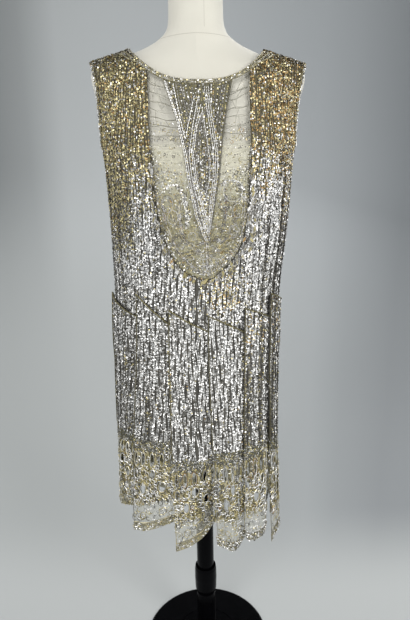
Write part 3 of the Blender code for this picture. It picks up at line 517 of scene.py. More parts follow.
def strap_place(side, back):
    """Gives place(u, v) for the cloth over one shoulder, from the yoke or back out to the arm.

    At each share of its width it has a place on the shoulder seam or the neckline."""
    if back:
        outs = (0.0, 0.11, 0.22, 0.33, 0.44, 0.54, 0.60, 0.69, 0.78, 0.86, 0.935, 1.0)
        tops = (0.0, 0.026, 0.052, 0.078, 0.104, NECK_POINT, 0.136, 0.152, 0.169, 0.183, 0.201)
        start, drop = 0.0, NECKLINE_DROP_BACK
    else:
        outs = (0.0, 0.11, 0.22, 0.33, 0.40, 0.53, 0.68, 0.80, 0.90, 1.0)
        tops = (YOKE_TOP, 0.104, 0.116, NECK_POINT, 0.136, 0.153, 0.169, 0.182, 0.201)
        start, drop = -YOKE_LEFT if side < 0 else YOKE_RIGHT, NECKLINE_DROP_FRONT
    first = angle_of(start, UNDERARM_HEIGHT)
    under = ring_at(DRAPE, UNDERARM_HEIGHT)

    def place(u, v):
        top = np.interp(u, outs, (*tops, SHOULDER_TIP))
        seam = SHOULDER_HEIGHT - SHOULDER_SLOPE * (top - NECK_POINT)
        end = np.where(top >= NECK_POINT, seam, neckline(top, drop))
        height = UNDERARM_HEIGHT + (end - UNDERARM_HEIGHT) * v
        foot_angle = first + (SIDE_ANGLE - first) * u
        foot = under[1] * np.sin(np.radians(foot_angle)) ** (2 / under[4])
        across = foot + (top - foot) * v
        across = across - ARMHOLE_CUT * u**2 * np.sin(np.pi * np.clip(v, 0, 1)) ** 0.5
        mend = np.where(top >= NECK_POINT, half_width(end) / np.maximum(top, 0.01), 1.0)
        share = across / half_width(height) * mend ** (v**4)
        return angle_of(side * share, height, back), height, np.zeros_like(height)

    return place


def low_place(back):
    """Gives place(u, v) for the bodice below the arms, from its hidden hem up."""

    def place(u, v):
        angle = (2 * u - 1) * SIDE_ANGLE
        under = ring_at(DRAPE, UNDERARM_HEIGHT)
        sine = np.sin(np.radians(angle))
        share = np.sign(sine) * np.abs(sine) ** (2 / under[4])
        inside = (share > YOKE_LEFT) & (share < YOKE_RIGHT) & (not back)
        top = np.where(inside, yoke_foot(share), UNDERARM_HEIGHT)
        height = BODICE_HEM_HEIGHT + (top - BODICE_HEM_HEIGHT) * v
        return (180 + angle if back else angle), height, np.zeros_like(height)

    return place


def grid_of(place, columns, rows):
    """Spots of a patch on an even grid."""
    return place(*np.meshgrid(np.linspace(0, 1, columns + 1), np.linspace(0, 1, rows + 1)))


def across_from_middle(points):
    """How far each point lies along its row from the row's middle, in metres."""
    run = np.linalg.norm(np.diff(points, axis=1), axis=2).cumsum(1)
    return np.hstack([np.zeros((len(points), 1)), run]) - run[:, -1:] / 2


def add_cloth(name, grids, thick, look, slot="silver_sequins"):
    """A thin closed shell over one or more grids of spots."""
    points, faces, marks, base = [], [], [], 0
    for angle, height, lift in grids:
        turned = -1 if angle[0, 0] > angle[0, -1] else 1
        inner, outer = on_drape(angle, height, lift), on_drape(angle, height, lift + thick)
        number, size = np.arange(angle.size).reshape(angle.shape), angle.size
        sides = cells(number).reshape(-1, 4)[:, ::turned]
        edge = [number[0], number[1:, -1], number[-1, -2::-1], number[-2:0:-1, 0]]
        edge = np.concatenate(edge)[::turned]
        over = np.roll(edge, -1)
        rim = np.stack([over + size, edge + size, edge, over], -1)
        faces += [*(sides + size + base), *(sides[:, ::-1] + base), *(rim + base)]
        points += [inner.reshape(-1, 3), outer.reshape(-1, 3)]
        marks += [np.stack([across_from_middle(outer), height], -1).reshape(-1, 2)] * 2
        base += 2 * size
    return add_piece(name, np.vstack(points), faces, [look], slot, np.vstack(marks))


def net_look(name, dark, light, tinge):
    """Fine net under sequins: woven ground with thread rows and a warmer tone higher up."""
    look = Finish(name, {"Metallic": 0.35})
    cloth = look.place("UV")
    wave = {"Vector": cloth, "Scale": 22.0, "Distortion": 1.2}
    rows = look.node("TexWave", {"bands_direction": "X"}, wave)
    weave = look.node("TexChecker", {}, {"Vector": cloth, "Scale": 900.0}, "Fac")
    blotch = look.noise(cloth, 60.0, 4.0)
    high = look.ramp(look.axes(cloth)[1], 1.08, 1.26)
    ground = look.tint(rows * 0.5 + blotch * 0.5, dark, light)
    look.feed("Base Color", look.tint(high * 0.75, ground, tinge))
    look.feed("Roughness", 0.75 - weave * 0.2)
    look.bump(weave * 0.5 + rows + blotch, 0.0006, 0.8)
    return look.made


# The net's very dark colour is partly its own grey-brown and partly painted shade, for the shadow in the
# gaps between the sequin strings.
silk_net = net_look("grey_silk_net", (0.038, 0.035, 0.030), (0.135, 0.127, 0.108), (0.12, 0.10, 0.05))


def add_bodice(name, back, strap_columns):
    """Front or back: the part below the arms and a strap over each shoulder."""
    grids = [grid_of(low_place(back), CLOTH_COLUMNS, CLOTH_ROWS)]
    for side in (-1, 1):
        grids.append(grid_of(strap_place(side, back), strap_columns, STRAP_ROWS))
    return add_cloth(name, grids, SEQUINNED_THICK, silk_net)


front_cloth = add_bodice("front_cloth", False, 26)
back_cloth = add_bodice("back_cloth", True, 36)
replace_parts(front_cloth, "front_bodice")
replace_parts(back_cloth, "back_bodice")

# ---------------------------------------------------------------- bodice sequins
# Small metal sequins sewn in strings that run down the cloth, silver below and old gold over
# the shoulders. They overlap like scales, and each lies at its own slight tilt.
rng = np.random.default_rng(1925)
# The metals double as lit and shaded copies of one another: where the painted sheen is high, brighter
# silver and pale gold are drawn as painted highlights, and where it is low, pewter and olive gold as
# painted shade.
METALS = {  # colour, roughness
    "bright_silver_and_highlight": ((0.84, 0.83, 0.81), 0.40),
    "soft_silver": ((0.66, 0.65, 0.63), 0.46),
    "pewter_and_shade": ((0.19, 0.18, 0.16), 0.45),
    "pale_gold_and_highlight": ((0.64, 0.56, 0.33), 0.38),
    "olive_gold_and_shade": ((0.47, 0.41, 0.215), 0.46),
    "bronze": ((0.40, 0.265, 0.115), 0.46),
}
ROW_GAP, COVERED = 0.6, 0.853  # between double rows; the height where the skirt hides them
STRING_PITCH, SEQUIN_SPACING, STRING_WANDER = 0.0072, 0.0025, 0.0014
SEQUIN = (0.0029, 0.0032, 0.20, 0.36, 0.0024)  # width, height, lean, looseness, lift
FULL_TURN = 6.28  # for turns and waves that start anywhere
metals = [
    Finish(name, {"Base Color": (*shade, 1.0), "Metallic": 1.0, "Roughness": roughness}).made
    for name, (shade, roughness) in METALS.items()
]


class Stitches:
    """Places on the cloth where something is sewn, which way each faces and which way it runs."""

    def __init__(self, place, u, v):
        self.angle, self.height, lift = place(u, v)
        self.u, self.v = u, v
        self.point = on_drape(self.angle, self.height, lift)
        self.out = unit(on_drape(self.angle, self.height, lift + 0.001) - self.point)
        self.sheen = np.zeros(len(u))
        step = np.where(v > 0.99, -0.004, 0.004)
        self.run = unit((on_drape(*place(u, v + step)) - self.point) / step[:, None])

    def keep(self, chosen):
        """Leaves out all but the chosen ones."""
        for part, values in vars(self).items():
            setattr(self, part, values[chosen])
        return self


GLEAMS = [  # angle, reach, how bright or dull, heights of its top and foot
    (-79, 3.0, -1.6, 1.10, 0.42), (-67, 4.0, 1.5, 1.06, 0.50), (-53, 1.9, -1.2, 1.02, 0.60),
    (-32, 1.8, -0.9, 0.80, 0.52), (5, 1.4, -0.7, 0.76, 0.56), (32, 2.3, -1.6, 0.88, 0.42),
    (40, 2.8, 1.0, 1.00, 0.50), (46, 1.8, -1.5, 1.12, 0.56), (53, 2.0, 1.3, 1.14, 0.48),
    (61, 2.4, -1.9, 1.18, 0.42), (69, 2.0, 1.0, 1.10, 0.52), (77, 2.6, -1.2, 1.14, 0.46),
    (109, 3.0, -1.4, 1.12, 0.46), (119, 2.4, 1.1, 1.06, 0.54), (138, 2.2, -1.0, 0.98, 0.50),
    (171, 1.8, -0.8, 0.84, 0.56), (209, 2.3, -1.1, 0.92, 0.46), (222, 2.6, 1.0, 1.04, 0.52),
    (233, 2.1, -1.4, 1.12, 0.44), (246, 2.2, 1.1, 1.10, 0.50), (258, 2.8, -1.5, 1.14, 0.42),
]
GLEAM_SWAY = 1.2  # degrees that the broader ones wander sideways


def gleam(angle, height):
    """How the ridges of the folds catch the light and their hollows stay dull."""
    total = np.zeros(np.broadcast(angle, height).shape)
    for middle, reach, bright, top, foot in GLEAMS:
        sway = GLEAM_SWAY * np.sin(height * 5.5 + middle) if reach > 2.1 else 0.0
        off = (angle - middle + sway + 180) % 360 - 180
        fade = eased((top - height) / 0.12) * eased((height - foot + 0.08) / 0.08)
        total = total + bright * np.exp(-((off / reach) ** 2)) * fade
    return total


def run_of(line):
    """How far along a line each of its points lies, in metres."""
    return np.concatenate([[0], np.linalg.norm(np.diff(line, axis=0), axis=1).cumsum()])


def in_strings(place, pitch, spacing, wander, strands=1, keep_out=0.0):
    """Stitches in rows of strands down a patch of cloth; each row wanders to each side."""
    steps = np.linspace(0, 1, 49)
    wide = run_of(on_drape(*place(steps, np.full_like(steps, 0.5))))[-1]
    rows = max(int(wide / pitch), 1)
    all_u, all_v, sheen = [], [], []
    for string in range(rows * strands):
        row, strand = divmod(string, strands)
        if strand == 0:
            phase, beat, glow = rng.uniform(0, FULL_TURN, 2), rng.uniform(0.7, 1.3, 2), rng.normal()
        off = (strand + 0.5) / (strands + ROW_GAP * (strands > 1))
        u = keep_out + (1 - 2 * keep_out) * (row + off) / rows
        run = run_of(on_drape(*place(np.full_like(steps, u), steps)))
        count = int(run[-1] / spacing)
        if count < 1:
            continue
        along = (np.arange(count) + rng.uniform(0.1, 0.9)) * run[-1] / count
        sway = np.sin(along / 0.011 * beat[0] + phase[0])
        sway = sway + 0.6 * np.sin(along / 0.027 * beat[1] + phase[1])
        all_u.append(np.clip(u + wander * sway / wide, 0.003, 0.997))
        all_v.append(np.interp(along, run, steps))
        sheen.append(glow * 0.45 + 0.6 * np.sin(along / 0.019 * beat[0] + phase[1]))
    made = Stitches(place, np.concatenate(all_u), np.concatenate(all_v))
    # Painted light: the sheen is lowered along the folds' troughs as painted shade and raised on the gleams
    # as painted highlights; it decides which metals are drawn.
    trough = np.clip(fold_depth(made.angle, made.height) / 0.004, -0.6, 1.4)
    made.sheen = np.concatenate(sheen) - 2.4 * trough + 1.9 * gleam(made.angle, made.height)
    return made


def flakes(stitches, wide, tall, lean, loose, lift, sides=6):
    """Points and faces of one thin flake at each stitch, leaning out at its foot."""
    count = len(stitches.point)
    side = np.cross(stitches.run, stitches.out)
    normal = stitches.out + (lean + loose * rng.normal(size=(count, 1))) * stitches.run
    normal = unit(normal + loose * rng.normal(size=(count, 1)) * side)
    up = unit(stitches.run - (stitches.run * normal).sum(1)[:, None] * normal)
    side = np.cross(up, normal)
    spin = rng.uniform(0, FULL_TURN, count)[:, None] + np.arange(sides) * 2 * np.pi / sides
    size = rng.uniform(0.85, 1.15, count)[:, None]
    x, y = np.cos(spin) * wide / 2 * size, np.sin(spin) * tall / 2 * size
    rise = (lift * rng.uniform(0.7, 1.3, count))[:, None]
    middle = stitches.point + rise * stitches.out
    points = middle[:, None] + x[..., None] * side[:, None] + y[..., None] * up[:, None]
    return points.reshape(-1, 3), np.arange(count * sides).reshape(count, sides)


def choose(chances, count=None):
    """The number of the metal that is drawn for each stitch, from its chances."""
    chances = np.stack(chances, -1) if count is None else np.tile(chances, (count, 1))
    edges = (chances / chances.sum(-1, keepdims=True)).cumsum(-1)
    return (rng.uniform(size=(len(chances), 1)) > edges).sum(-1).clip(0, len(metals) - 1)


def add_sewn(name, groups, slot="silver_sequins"):
    """One piece from groups of small shapes with the number of each one's metal."""
    faces, patches, base = [], [], 0
    for (points, sides), chosen in groups:
        faces += (sides + base).tolist()
        patches.append(np.repeat(chosen, len(sides) // len(chosen)))
        base += len(points)
    points, patches = np.vstack([shapes[0] for shapes, _ in groups]), np.concatenate(patches)
    return add_piece(name, points, faces, metals, slot, patches=patches, smooth=False)


def worked(kind, stitches, sizes, mix):
    """Flakes, leaves or curls at some stitches, each of a metal drawn from a mix."""
    return kind(stitches, *sizes), choose(mix, len(stitches.u))


def soft_spot(stitches, across, height, wide, tall):
    """1 in the middle of a soft spot of the cloth, 0 well outside it."""
    off = (stitches.point[:, 0] - across) / wide, (stitches.height - height) / tall
    return np.exp(-(off[0] ** 2) - off[1] ** 2)


def bodice_metals(stitches):
    """Old gold on the shoulders, browner on the wearer's left one, silver further down."""
    height, angle = stitches.height, (stitches.angle + 180) % 360 - 180
    across = stitches.point[:, 0]
    flat = np.abs(angle) % 180
    flat = np.minimum(flat, 180 - flat)
    patch = 0.5 + 0.5 * np.sin(across * 95 + 2) * np.sin(height * 70)
    gold = eased((height - np.where(across < 0, 1.05, 1.10) - 0.05 * patch) / 0.13)
    strip = eased((flat - 52) / 12) * eased((height - 1.05) / 0.05)
    gold = np.maximum(gold, (0.45 + 0.4 * (angle < 0)) * strip * (0.5 + 0.5 * patch))
    edge = eased((flat - 62) / 8) * eased((height - 1.25) / 0.03) * (angle < 0) * (angle > -90)
    gold = gold * (1 - 0.75 * edge)
    tawny = eased((height - 0.895) / 0.03) * eased((1.0 - height) / 0.04) * (flat < 60)
    tawny = 0.5 * tawny * np.exp(-(((across - 0.05) / 0.03) ** 2))
    ahead = np.abs(angle) < 89
    moss = soft_spot(stitches, -0.154, 1.110, 0.027, 0.075) * ahead
    pale = soft_spot(stitches, -0.112, 1.125, 0.013, 0.055) * ahead
    gold = np.clip(gold * (1 - 0.7 * pale), 0, 1)
    brown = gold * np.where(across > 0, 0.70, 0.22)
    # Painted light: the painted sheen draws brighter metals where it is high and pewter where it is low.
    silver, lit = (1 - gold) * (1 - 0.95 * moss), np.exp(0.55 * stitches.sheen)
    return choose([
        (silver * 0.42 + gold * 0.05) * lit * (1 - 0.7 * moss),
        silver * 0.40 * lit**0.5 * (1 - 0.5 * moss) + gold * 0.06,
        (silver * 0.21 + gold * 0.14 + moss * 0.90) / lit,
        (gold * 0.24 + tawny) * lit * (1 - moss) + 0.004,
        gold * 0.62 * (1 - brown) + 0.025 + moss * 0.90,
        0.62 * brown + 0.3 * tawny,
    ])


def in_line(place, u, v, spacing):
    """Stitches evenly along a line on the cloth."""
    run = run_of(on_drape(*place(u, v)))
    along = np.linspace(0, run[-1], max(int(run[-1] / spacing), 2))
    made = Stitches(place, np.interp(along, run, u), np.interp(along, run, v))
    made.run = unit(np.gradient(made.point, axis=0))
    return made


def bodice_flakes(back):
    """Strings down the cloth, close rows on the straps and larger sequins on the shoulders."""
    low = in_strings(low_place(back), STRING_PITCH, SEQUIN_SPACING, STRING_WANDER, 2)
    low.keep(low.height > COVERED)
    groups = [(flakes(low, *SEQUIN), bodice_metals(low))]
    for side in (-1, 1):
        place = strap_place(side, back)
        strap = in_strings(place, 0.0027, 0.0024, 0.0010)
        groups.append((flakes(strap, 0.0030, 0.0030, 0.12, 0.36, 0.0023), bodice_metals(strap)))
        crest = in_strings(place, 0.0038, 0.0040, 0.0012)
        crest.keep((crest.v > 0.955) & (crest.u > (0.55 if back else 0.34)))
        sizes, mix = (0.0046, 0.0052, 0.5, 0.65, 0.0035), (0.26, 0.18, 0.2, 0.14, 0.14, 0.08)
        groups.append(worked(flakes, crest, sizes, mix))
        if not back:
            steps = np.linspace(0.34, 0.995, 40)
            seam = in_line(place, steps, np.full_like(steps, 0.998), 0.0020)
            sizes, mix = (0.0058, 0.0058, 0.0, 0.5, 0.0040), (0.20, 0.16, 0.2, 0.20, 0.18, 0.08)
            groups.append(worked(flakes, seam, sizes, mix))
    return groups


add_sewn("front_sequins", bodice_flakes(False))
add_sewn("back_sequins", bodice_flakes(True))

# ---------------------------------------------------------------- skirt panels
# Twelve strips of the same sequinned net, each with a slanted top that makes a saw-tooth line
# round the hips. Each laps over the next, with a dull gold cord along its top and a darker one
# down its left edge.
Panel = namedtuple(  # angles of the left edge, heights, then how far the hem and the sides bend
    "Panel", "hip_angle hem_angle top_left top_right lace hem_left hem_right sag bulge tuck"
)
PANELS = [
    Panel(-82.0, -85.0, 0.930, 0.893, 0.630, 0.430, 0.452, 0.000, 0.006, 0.004),
    Panel(-39.0, -50.0, 0.945, 0.879, 0.625, 0.391, 0.436, 0.002, 0.008, 0.006),
    Panel(-15.1, -13.5, 0.916, 0.865, 0.582, 0.360, 0.430, 0.008, 0.008, 0.022),
    Panel(5.2, 9.5, 0.903, 0.860, 0.599, 0.378, 0.376, 0.011, 0.016, 0.012),
    Panel(28.8, 30.5, 0.914, 0.884, 0.603, 0.385, 0.468, 0.040, 0.010, 0.010),
    Panel(53.5, 60.5, 0.935, 0.890, 0.598, 0.338, 0.402, 0.004, 0.006, 0.004),
    Panel(99.0, 101.0, 0.935, 0.888, 0.606, 0.378, 0.430, 0.006, 0.008, 0.006),
    Panel(130.0, 130.0, 0.922, 0.874, 0.600, 0.362, 0.422, 0.008, 0.010, 0.010),
    Panel(156.0, 156.0, 0.914, 0.866, 0.596, 0.356, 0.420, 0.006, 0.010, 0.012),
    Panel(180.0, 180.0, 0.910, 0.864, 0.594, 0.368, 0.404, 0.018, 0.012, 0.012),
    Panel(205.0, 205.0, 0.914, 0.868, 0.598, 0.362, 0.424, 0.006, 0.010, 0.010),
    Panel(236.0, 236.0, 0.926, 0.880, 0.610, 0.384, 0.430, 0.004, 0.008, 0.006),
]
OVERLAP_SHARE, LIFT_OVER, LIFT_UNDER = 0.09, 0.0056, 0.0012


def strip_place(index):
    """Gives place(u, height) for a strip from its left to its right edge."""
    strip, following = PANELS[index], PANELS[(index + 1) % len(PANELS)]
    turn = 360 if index == len(PANELS) - 1 else 0

    def place(u, height):
        down = eased((0.90 - height) / 0.50)
        left = strip.hip_angle + (strip.hem_angle - strip.hip_angle) * down
        right = following.hip_angle + (following.hem_angle - following.hip_angle) * down + turn
        flare = eased((0.72 - height) / 0.34)
        swell = np.sin(np.pi * np.minimum(u / (1 - OVERLAP_SHARE), 1.0)) ** 2
        over = (SEQUINNED_THICK + CLEAR) * eased((height - BODICE_HEM_HEIGHT + 0.06) / 0.05)
        off = LIFT_OVER + (LIFT_UNDER - LIFT_OVER) * u + over
        off = off + flare * (strip.bulge * swell - strip.tuck * eased((u - 0.35) / 0.65))
        return left + (right - left) / (1 - OVERLAP_SHARE) * u, height, off

    return place


def panel_place(index):
    """Gives place(u, v) for the sequinned part of a strip."""
    strip, place = PANELS[index], strip_place(index)

    def spot(u, v):
        top = strip.top_left + (strip.top_right - strip.top_left) * u
        return place(u, strip.lace + SEAM_GAP + (top - strip.lace - SEAM_GAP) * v)

    return spot


def panel_metals(stitches, index):
    """Mostly silver, with gold along the edges where the strips tuck under each other as painted shade."""
    wave = 0.5 + 0.5 * np.sin(stitches.height * 31 + index * 2.1)
    # Painted shade: gold along the edge where a strip tucks under its neighbour, for the shadow of the
    # tuck.
    band = eased((stitches.u - 0.84) / 0.08) if index % 2 else eased((0.07 - stitches.u) / 0.05)
    foot = eased((0.615 - stitches.height) / 0.05) * (index in (0, 1, 4))
    gold = 0.70 * band * wave + 0.008 + 0.50 * foot * (0.4 + 0.6 * wave)
    tawny = 0.35 * eased((stitches.height - 0.80) / 0.1) * (index in (4, 5))
    silver, lit = 1 - gold, np.exp(0.55 * stitches.sheen)
    # Painted shade: the lower the painted sheen, the more olive gold is drawn.
    shade_share = eased((-stitches.sheen - 0.8) / 2.0)
    return choose([
        silver * 0.46 * lit, silver * 0.42 * lit**0.6, (silver * 0.18 + 0.1 * gold) / lit,
        (gold * 0.25 + 0.5 * tawny) * lit, gold * 0.6 + 0.25 * shade_share, gold * 0.2 + 0.3 * tawny,
    ])


def cord_mesh(stitches, radius, lift, sides=6):
    """Points and faces of a round cord along stitches."""
    side, turn = np.cross(stitches.run, stitches.out), np.arange(sides) * 2 * np.pi / sides
    ring = np.cos(turn)[:, None] * side[:, None] + np.sin(turn)[:, None] * stitches.out[:, None]
    points = stitches.point[:, None] + lift * stitches.out[:, None] + radius * ring
    number = np.arange(len(points) * sides).reshape(-1, sides)
    faces = cells(number, True).reshape(-1, 4).tolist()
    return points.reshape(-1, 3), [*faces, number[0, ::-1].tolist(), number[-1].tolist()]


def add_cords(name, cords, look, slot="old_gold"):
    """One piece from several cords."""
    points, faces, base = [], [], 0
    for here, sides in cords:
        points.append(here)
        faces += [[base + number for number in side] for side in sides]
        base += len(here)
    return add_piece(name, np.vstack(points), faces, [look], slot)


def cord_look(name, dark, light, metal=0.8):
    """Twisted thread, of metal unless it is said otherwise."""
    look = Finish(name, {"Metallic": metal})
    where = look.place()
    twist = look.node("TexWave", {"bands_direction": "DIAGONAL"}, {"Vector": where, "Scale": 260.0})
    wear = look.noise(where, 90.0, 3.0)
    look.feed("Base Color", look.tint(wear * 0.7 + twist * 0.3, dark, light))
    look.feed("Roughness", wear * 0.3 + 0.3)
    look.bump(twist, 0.0004)
    return look.made


def cut_of(place):
    """Width, length and area of the flat piece that a patch is cut from, in metres."""
    grid = on_drape(*grid_of(place, 40, 60))
    across = np.linalg.norm(np.diff(grid, axis=1), axis=2)
    down = np.linalg.norm(np.diff(grid, axis=0), axis=2)
    area = ((across[1:] + across[:-1]) / 2 * (down[:, 1:] + down[:, :-1]) / 2).sum()
    wide, long = round(float(across.sum(1).max()), 3), round(float(down.sum(0).max()), 3)
    return (wide, long), min(round(float(area), 5), wide * long)


gold_cord = cord_look("dull_gold_cord", (0.075, 0.065, 0.030), (0.34, 0.30, 0.16))
olive_cord = cord_look("dark_olive_cord", (0.045, 0.040, 0.022), (0.20, 0.18, 0.11), 0.4)
trims, edges = [], []
for index in range(len(PANELS)):
    place, number = panel_place(index), f"{index + 1:02d}"
    cloth = add_cloth(f"panel_cloth_{number}", [grid_of(place, 24, 30)], SEQUINNED_THICK, silk_net)
    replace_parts(cloth, f"skirt_panel_{number}")
    flat, area = cut_of(place)
    even, lift = np.linspace(0, 1, 30), SEQUINNED_THICK + 0.0016
    trims.append(cord_mesh(in_line(place, even, np.ones(30), 0.004), 0.0014, lift))
    edges.append(cord_mesh(in_line(place, np.full(30, 0.012), even, 0.006), 0.0012, lift, 5))
add_cords("panel_cords", trims, gold_cord)
# The left edges' olive cord is dark partly for its own olive and partly as painted shade, where each
# strip's left edge lies over its neighbour.
add_cords("panel_edge_cords", edges, olive_cord)


def panel_flakes(indices):
    """Strings down each panel, which stop where the next panel covers it."""
    groups = []
    for index in indices:
        place = panel_place(index)
        strings = in_strings(place, STRING_PITCH, SEQUIN_SPACING, STRING_WANDER, 2, 0.01)
        strings.keep(strings.u < 1 - 0.7 * OVERLAP_SHARE)
        groups.append((flakes(strings, *SEQUIN), panel_metals(strings, index)))
    return groups


add_sewn("skirt_sequins_front", panel_flakes(range(6)))
add_sewn("skirt_sequins_back", panel_flakes(range(6, 12)))

# ---------------------------------------------------------------- yoke
# Ecru silk net set into the front: open ladder work at the top corners, then plain net, then a
# deep rounded foot of metal lace in rings and leaves.
LACE_THICK, NECK_BAND_WIDTH, YOKE_SPAN = 0.0010, 0.008, (0.178, 0.52)
# The ladder work's bars: columns across from -1 to 1, and rows up to 1 at the arms and 2 above.
YOKE_COLUMNS = (-1.0, -0.92, -0.78, -0.62, -0.40, -0.18, 0.02, 0.19, 0.38, 0.60, 0.78, 0.93, 1.0)
YOKE_RISE = (0.0, 0.25, 0.50, 0.75, 1.0, 1.1, 1.2, 1.3, 1.4, 1.5, 1.6, 1.7, 1.8, 1.875, 1.95, 2.0)


def on_front(across, height, lift=0.0):
    """A spot of the front from its distance across and its height, in metres."""
    share = across / half_width(height)
    return angle_of(share, height), height, np.full(np.shape(height), lift)


def yoke_place(u, v):
    """A spot of the yoke: u from its left to its right side, v from its foot to the neck."""
    out, up = 2 * u - 1, 2 * v
    share = (YOKE_LEFT + YOKE_RIGHT) / 2 + out * (YOKE_RIGHT - YOKE_LEFT) / 2
    top = neckline(out * YOKE_TOP, NECKLINE_DROP_FRONT)
    side_top = neckline(YOKE_TOP, NECKLINE_DROP_FRONT)
    foot = np.minimum(yoke_foot(share) + 2 * SEAM_GAP, UNDERARM_HEIGHT)
    low = foot + (UNDERARM_HEIGHT - foot) * up
    height = np.where(up <= 1, low, UNDERARM_HEIGHT + (top - UNDERARM_HEIGHT) * (up - 1))
    rise = np.clip((height - UNDERARM_HEIGHT) / (side_top - UNDERARM_HEIGHT), 0, None)
    across = share * half_width(np.minimum(height, UNDERARM_HEIGHT))
    return on_front(across + (out * YOKE_TOP - across) * rise - 2 * SEAM_GAP * out, height)


def open_net(columns, rows, holes):
    """An even grid bent to the edges of oval holes, and which of its cells lie inside them."""
    u, v = np.meshgrid(np.linspace(0, 1, columns + 1), np.linspace(0, 1, rows + 1))
    hidden = np.zeros((rows, columns), bool)
    for middle_u, middle_v, half_u, half_v in holes:
        near = 0.75 * max(1 / columns / half_u, 1 / rows / half_v)
        away = np.hypot((u - middle_u) / half_u, (v - middle_v) / half_v)
        snap = (np.abs(away - 1) < near * 0.62) & (away > 0.05)
        u = np.where(snap, middle_u + (u - middle_u) / np.maximum(away, 0.05), u)
        v = np.where(snap, middle_v + (v - middle_v) / np.maximum(away, 0.05), v)
        cell_u, cell_v = (
            (grid[:-1, :-1] + grid[1:, 1:] + grid[:-1, 1:] + grid[1:, :-1]) / 4 for grid in (u, v)
        )
        hidden |= np.hypot((cell_u - middle_u) / half_u, (cell_v - middle_v) / half_v) < 0.97
    return u, v, hidden


def add_net(name, place, columns, rows, holes, look, depth=None):
    """A sheet of net; its UV places run across in metres and up, in height or a depth's share."""
    u, v, hidden = open_net(columns, rows, holes)
    angle, height, lift = place(u, v)
    points = on_drape(angle, height, lift + LACE_THICK / 2)
    faces = cells(np.arange(u.size).reshape(u.shape))[~hidden].tolist()
    marks = np.stack([across_from_middle(points), height if depth is None else v * depth], -1)
    return add_piece(name, points.reshape(-1, 3), faces, [look], "ecru_net", marks.reshape(-1, 2))


def open_net_look(name, bands, mesh, threads, soft=0.006):
    """Fine net that shows what is behind it; bands give heights, colours and closeness."""
    look = Finish(name, {"Roughness": 0.65, "Metallic": 0.2})
    cloth = look.place("UV")
    shake = {0: look.noise(cloth, 300.0), "Scale": 0.001}
    shake = look.node("VectorMath", {"operation": "SCALE"}, shake)
    bent = look.node("VectorMath", {"operation": "ADD"}, {0: cloth, 1: shake})
    hexes = look.node(
        "TexVoronoi", {"feature": "DISTANCE_TO_EDGE", "voronoi_dimensions": "2D"},
        {"Vector": bent, "Scale": mesh, "Randomness": 0.45}, "Distance",
    )
    blotch, rise = look.noise(cloth, 95.0, 4.0), look.axes(cloth)[1]
    shade, close = look.tint(blotch, *bands[0][1]), bands[0][2]
    for height, pair, closeness in bands[1:]:
        share = look.ramp(rise, height - soft, height + soft)
        shade = look.tint(share, shade, look.tint(blotch, *pair))
        close = share * (closeness - close) + close
    look.feed("Base Color", shade)
    look.feed("Alpha", hexes < close + blotch * threads)
    look.bump(hexes + blotch * 0.6, 0.0005)
    return look.made


yoke_net = open_net_look("ecru_yoke_net", (
    (0.0, ((0.13, 0.115, 0.062), (0.66, 0.62, 0.42)), 0.20),
    (1.120, ((0.36, 0.34, 0.22), (0.76, 0.73, 0.55)), 0.14),
    (1.160, ((0.58, 0.55, 0.40), (0.92, 0.89, 0.74)), 0.09),
    (1.232, ((0.74, 0.71, 0.57), (0.97, 0.95, 0.87)), -0.20),
), 420.0, 0.10, 0.020)
OPEN_COLUMNS = (  # column, first and last row, share of its width that is open
    (1, 5, 13, 0.72), (2, 5, 12, 0.72), (9, 5, 8, 0.60), (10, 5, 13, 0.72),
)
ladder = []
for column, first, last, wide in OPEN_COLUMNS:
    left, right = ((1 + YOKE_COLUMNS[column + step]) / 2 for step in (0, 1))
    for row in range(first, last + 1):
        low, high = (YOKE_RISE[row + step] / 2 for step in (0, 1))
        half = (wide * (right - left) / 2, 0.66 * (high - low) / 1.75)
        ladder.append(((left + right) / 2, (low + high) / 2, *half))
yoke = add_net("yoke_net", yoke_place, 104, 130, ladder, yoke_net)
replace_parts(yoke, "yoke")


def ring_line(u, v, wide, tall, turn=0.0, lobes=0, depth=0.0):
    """A ring, or a lobed flower, round a middle: its u and v along the line."""
    t = np.linspace(0, 2 * np.pi, 40)
    reach = 1 + depth * np.cos(lobes * t + turn)
    return u + wide * reach * np.cos(t), v + tall * reach * np.sin(t)


def scattered(place, low, high, spacing, wide, tall, holes=(), edges=(0.01, 0.99), room=1.06):
    """Stitches scattered evenly over a band of a patch, clear of its holes."""
    across, along = max(int(wide / spacing), 1), max(int(tall * (high - low) / spacing), 1)
    u, v = np.meshgrid((np.arange(across) + 0.5) / across, (np.arange(along) + 0.5) / along)
    u = np.clip(u + rng.normal(size=u.shape) * 0.3 / across, *edges).ravel()
    v = np.clip(v + rng.normal(size=v.shape) * 0.3 / along, 0.0, 1.0).ravel() * (high - low) + low
    clear = np.ones(len(u), bool)
    for middle_u, middle_v, half_u, half_v in holes:
        clear &= np.hypot((u - middle_u) / half_u, (v - middle_v) / half_v) > room
    return Stitches(place, u[clear], v[clear])


def tubes(lines, outs, thick, sides=4, flat=1.0):
    """Points and faces of thin cords, one along each line of points; flat ones lie broad."""
    beside = np.cross(unit(np.gradient(lines, axis=1)), outs)
    turn = np.pi / 2 + (np.arange(sides) + 0.5 * (sides % 2 == 0)) * 2 * np.pi / sides
    ring = flat * np.cos(turn)[:, None] * beside[:, :, None]
    ring = ring + np.sin(turn)[:, None] * outs[:, :, None] / flat
    points = lines[:, :, None] + ring * np.asarray(thick)[..., None, None]
    number = np.arange(points.size // 3).reshape(points.shape[:3])
    return points.reshape(-1, 3), cells(number, True).reshape(-1, 4)


def one_tube(row, lift, thick, sides=4, flat=1.0):
    """A thin cord along a row of stitches."""
    lines = (row.point + lift * row.out)[None]
    return tubes(lines, row.out[None], thick * np.ones((1, len(row.u))), sides, flat)


